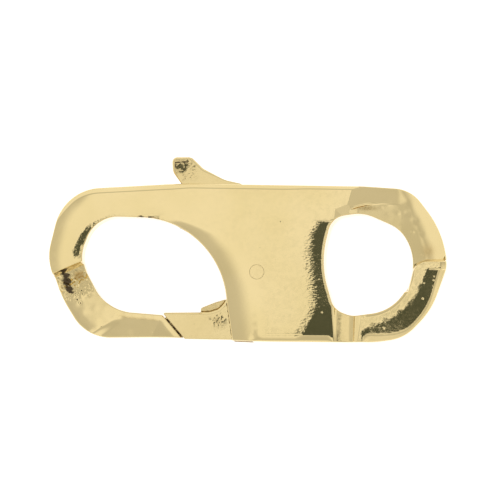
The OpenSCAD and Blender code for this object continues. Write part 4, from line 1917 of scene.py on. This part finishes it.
@dataclass
class PivotPin:
    """Plain round pin through both cheeks, its ends polished flush."""

    radius: float = PIN_RADIUS
    edge: float = 0.003
    sides: int = 96

    def build(self, finish: PolishedGold) -> bpy.types.Object:
        """Builds and dresses the pin.

        Args:
            finish: Its finish.

        Returns:
            The finished piece.
        """
        stations = [(0.0, self.radius - self.edge), (self.edge, self.radius)]
        stations += [(z, self.radius) for z in (0.4, CHEEK, 1.6, THICKNESS - CHEEK, THICKNESS - 0.4)]
        stations += [(THICKNESS - self.edge, self.radius), (THICKNESS, self.radius - self.edge)]
        levels, girth = np.array(stations).T
        path = np.stack([np.full(len(levels), PIVOT[0]), np.full(len(levels), PIVOT[1]), levels], 1)
        made = RoundBar("pivot_pin_turned", path, girth, self.sides).build(finish.material())
        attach(made, "casting")
        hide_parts("pivot_pin")
        return made


@dataclass
class HairpinSpring:
    """Hairpin of round wire between the slot's corner and the trigger's back edge.
    """

    wire: float = 0.32
    bend_at: tuple[float, float] = (2.24, 1.09)
    bend_radius: float = 0.42
    fixed_leg: float = 3.0
    free_leg: float = 3.58
    leg_angle: float = 30.0
    ends: float = 0.05
    sides: int = 24
    moves_from: tuple[float, float] = (2.797, 4.048)
    moves_to: tuple[float, float] = (0.321, 4.396)

    def path(self) -> tuple[np.ndarray, np.ndarray]:
        """Stations and girths along the wire, with its two ends a little rounded.

        Returns:
            Stations in millimetres and the radius at each.
        """
        x, y = self.bend_at
        radius = self.wire / 2
        start = np.array((x + self.bend_radius, y))
        turn = np.radians(np.linspace(0, -(180 - self.leg_angle), 31))
        bend = np.stack([x + self.bend_radius * np.cos(turn), y + self.bend_radius * np.sin(turn)], 1)
        run = np.array((-math.sin(math.radians(self.leg_angle)), math.cos(math.radians(self.leg_angle))))
        depths = np.array((0.0, 0.3, 0.65, 1.0)) * self.ends
        along = np.concatenate([depths, np.linspace(self.ends, self.fixed_leg, 13)[1:]])
        fixed = start + np.array((0.0, 1.0)) * (self.fixed_leg - along)[:, None]
        along = np.linspace(0, self.free_leg - self.ends, 19)[1:]
        back = np.concatenate([along, self.free_leg - depths[::-1][1:]])
        free = bend[-1] + run * back[:, None]
        flat = np.concatenate([fixed, bend[1:], free])
        girth = np.full(len(flat), radius)
        tip = radius - self.ends + np.sqrt(self.ends**2 - (self.ends - depths) ** 2)
        girth[:4], girth[-4:] = tip, tip[::-1]
        return np.concatenate([flat, np.full((len(flat), 1), THICKNESS / 2)], 1), girth

    def build(self, finish: DrawnSteel) -> bpy.types.Object:
        """Builds and dresses the spring.

        Args:
            finish: Its finish.

        Returns:
            The finished piece.
        """
        path, girth = self.path()
        made = RoundBar("spring_wire", path, girth, self.sides).build(finish.material())
        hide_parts("spring")
        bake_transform(made)
        return made


@dataclass
class Studio:
    """Floor, light tent and camera.

    Directions are in degrees: lean from straight down, lamp, notch and stand as tilt and turn, and bands,
    skirt and the three edges as the angles between which each fades. The backdrop is the brightness that
    the camera itself sees behind the floor, and floor_half is in metres.
    """

    distance: float = 600.0
    lean: tuple[float, float] = (3.5, -2.5)
    aim: tuple[float, float, float] = (0.12, 0.85, 3.2)
    width: float = 31.46
    roll: float = 1.05
    tent: float = 1.03
    bands: tuple[tuple[float, float, float], ...] = (
        (9.2, 17.0, 1.0), (30.0, 54.0, -1.0), (17.0, 24.0, 0.15), (28.0, 50.0, -0.15),
    )
    ring_depth: float = 0.335
    skirt: tuple[float, float] = (82.0, 86.0)
    skirt_depth: float = 0.8
    backdrop: float = 1.05
    dark_radius: float = 7.15
    dark_edge: float = 0.5
    dark: tuple[float, float, float] = (0.09, 0.104, 0.09)
    lamp: tuple[float, float] = (28.0, -8.0)
    lamp_edge: tuple[float, float] = (1.0, 9.5)
    notch: tuple[float, float] = (4.6, 218.0)
    notch_edge: tuple[float, float] = (2.4, 3.2)
    stand: tuple[float, float] = (7.4, 28.0)
    stand_edge: tuple[float, float] = (3.8, 4.8)
    floor_half: float = 3.0
    floor_glow: float = 0.84

    def build(self) -> None:
        """Builds the whole studio."""
        scene = bpy.context.scene
        scene.view_settings.view_transform = "Standard"
        self._camera(scene)
        self._world(scene)
        self._floor()

    def _direction(self) -> Vector:
        """Direction from the clasp to the camera."""
        return Vector((*(fall(angle) for angle in self.lean), 1.0)).normalized()

    @staticmethod
    def _toward(tilt: float, turn: float) -> tuple[float, float, float]:
        """Unit direction at a tilt from straight up and a turn from +X, in degrees."""
        a, b = math.radians(tilt), math.radians(turn)
        return (math.sin(a) * math.cos(b), math.sin(a) * math.sin(b), math.cos(a))

    @staticmethod
    def _off(graph: NodeGraph, toward: bpy.types.NodeSocket,
             aim: tuple[float, float, float]) -> bpy.types.NodeSocket:
        """Angle between the direction looked at and another one.

        Args:
            graph: The world's nodes.
            toward: The direction looked at.
            aim: The other one, of length 1.

        Returns:
            The angle, in degrees.
        """
        shared = graph.add("ShaderNodeVectorMath", {0: toward, 1: aim}, operation="DOT_PRODUCT")
        cosine = graph.math("MINIMUM", shared.outputs["Value"], 1.0)
        return graph.times(graph.math("ARCCOSINE", cosine), DEGREES)

    def _camera(self, scene: bpy.types.Scene) -> None:
        """Sets the camera over the clasp, as the photograph has it.

        Args:
            scene: The scene that gets the camera.
        """
        data = bpy.data.cameras.new("camera")
        data.sensor_width = 36.0
        data.lens = data.sensor_width * self.distance / self.width
        data.clip_start, data.clip_end = 0.05, 5.0
        made = link_object("camera", data)
        back = self._direction()
        turn = math.radians(self.roll)
        right = Vector((-math.sin(turn), math.cos(turn), 0.0)).cross(back).normalized()
        matrix = Matrix((right, back.cross(right), back)).transposed().to_4x4()
        matrix.translation = Vector(self.aim) * MM + back * self.distance * MM
        made.matrix_world = matrix
        scene.camera = made

    def _world(self, scene: bpy.types.Scene) -> None:
        """Light tent: bright overhead, greyer beside that, with the gap that the camera looks through.

        Args:
            scene: The scene that gets the world.
        """
        world = bpy.data.worlds.new("light_tent")
        world.use_nodes = True
        scene.world = world
        graph = NodeGraph(world.node_tree)
        toward = graph.add("ShaderNodeTexCoord").outputs["Generated"]
        height = graph.add("ShaderNodeSeparateXYZ", {0: toward}).outputs["Z"]
        tilt = graph.times(graph.math("ARCCOSINE", height), DEGREES)
        ring = 0.0
        for start, end, change in self.bands:
            ring = graph.plus(ring, graph.times(graph.spread(tilt, start, end), change))
        lamp = self._off(graph, toward, self._toward(*self.lamp))
        ring = graph.times(ring, graph.spread(lamp, *self.lamp_edge, 0.2, 1.0))
        tent = graph.less(self.tent, graph.times(ring, self.ring_depth))
        low = graph.times(graph.spread(tilt, *self.skirt), self.skirt_depth)
        tent = graph.times(tent, graph.less(1.0, low))
        gap = self._off(graph, toward, tuple(self._direction()))
        seen = graph.spread(gap, self.dark_radius - self.dark_edge, self.dark_radius + self.dark_edge)
        notch = self._off(graph, toward, self._toward(*self.notch))
        seen = graph.math("MAXIMUM", seen, graph.spread(notch, *self.notch_edge, 1.0, 0.0))
        stand = self._off(graph, toward, self._toward(*self.stand))
        seen = graph.times(seen, graph.spread(stand, *self.stand_edge))
        tint = graph.mix(seen, self.dark, (1.0, 1.0, 1.0))
        shown = graph.add("ShaderNodeLightPath").outputs["Is Camera Ray"]
        levels = {"Factor": shown, 2: tent, 3: self.backdrop}
        strength = graph.add("ShaderNodeMix", levels, data_type="FLOAT")
        tint = graph.mix(shown, tint, (1.0, 1.0, 1.0))
        light = graph.add("ShaderNodeBackground", {"Color": tint, "Strength": strength.outputs[0]})
        graph.add("ShaderNodeOutputWorld", {"Surface": light.outputs["Background"]})

    def _floor(self) -> None:
        """Lays a pale floor, lit a little from below as an opal sheet is."""
        half = self.floor_half
        mesh = bpy.data.meshes.new("floor")
        corners = [(-half, -half, 0), (half, -half, 0), (half, half, 0), (-half, half, 0)]
        mesh.from_pydata(corners, [], [(0, 1, 2, 3)])
        made = link_object("floor", mesh)
        paint, graph = new_material("opal_sheet")
        inputs = {"Base Color": (0.5, 0.5, 0.5, 1), "Roughness": 0.9, "Specular IOR Level": 0.0,
                  "Emission Color": (1, 1, 1, 1), "Emission Strength": self.floor_glow}
        shader = graph.add("ShaderNodeBsdfPrincipled", inputs)
        graph.add("ShaderNodeOutputMaterial", {"Surface": shader.outputs["BSDF"]})
        mesh.materials.append(paint)


def main() -> None:
    """Builds the clasp's pieces in order, then the studio."""
    logging.basicConfig(level=logging.INFO, format="%(name)s: %(message)s")
    lever_gold = PolishedGold("gold_trigger", colour=(0.80, 0.64, 0.32), deep=(0.77, 0.61, 0.295))
    for build in (lambda: Casting().build(PolishedGold("gold_casting")),
                  lambda: Trigger().build(lever_gold),
                  lambda: PivotPin().build(PolishedGold("gold_pin", colour=(0.85, 0.68, 0.345))),
                  lambda: HairpinSpring().build(DrawnSteel("spring_steel"))):
        made = build()
        LOG.info("%s: %d faces", made.name, len(made.data.polygons))
    Studio().build()


if __name__ == "__main__":
    main()
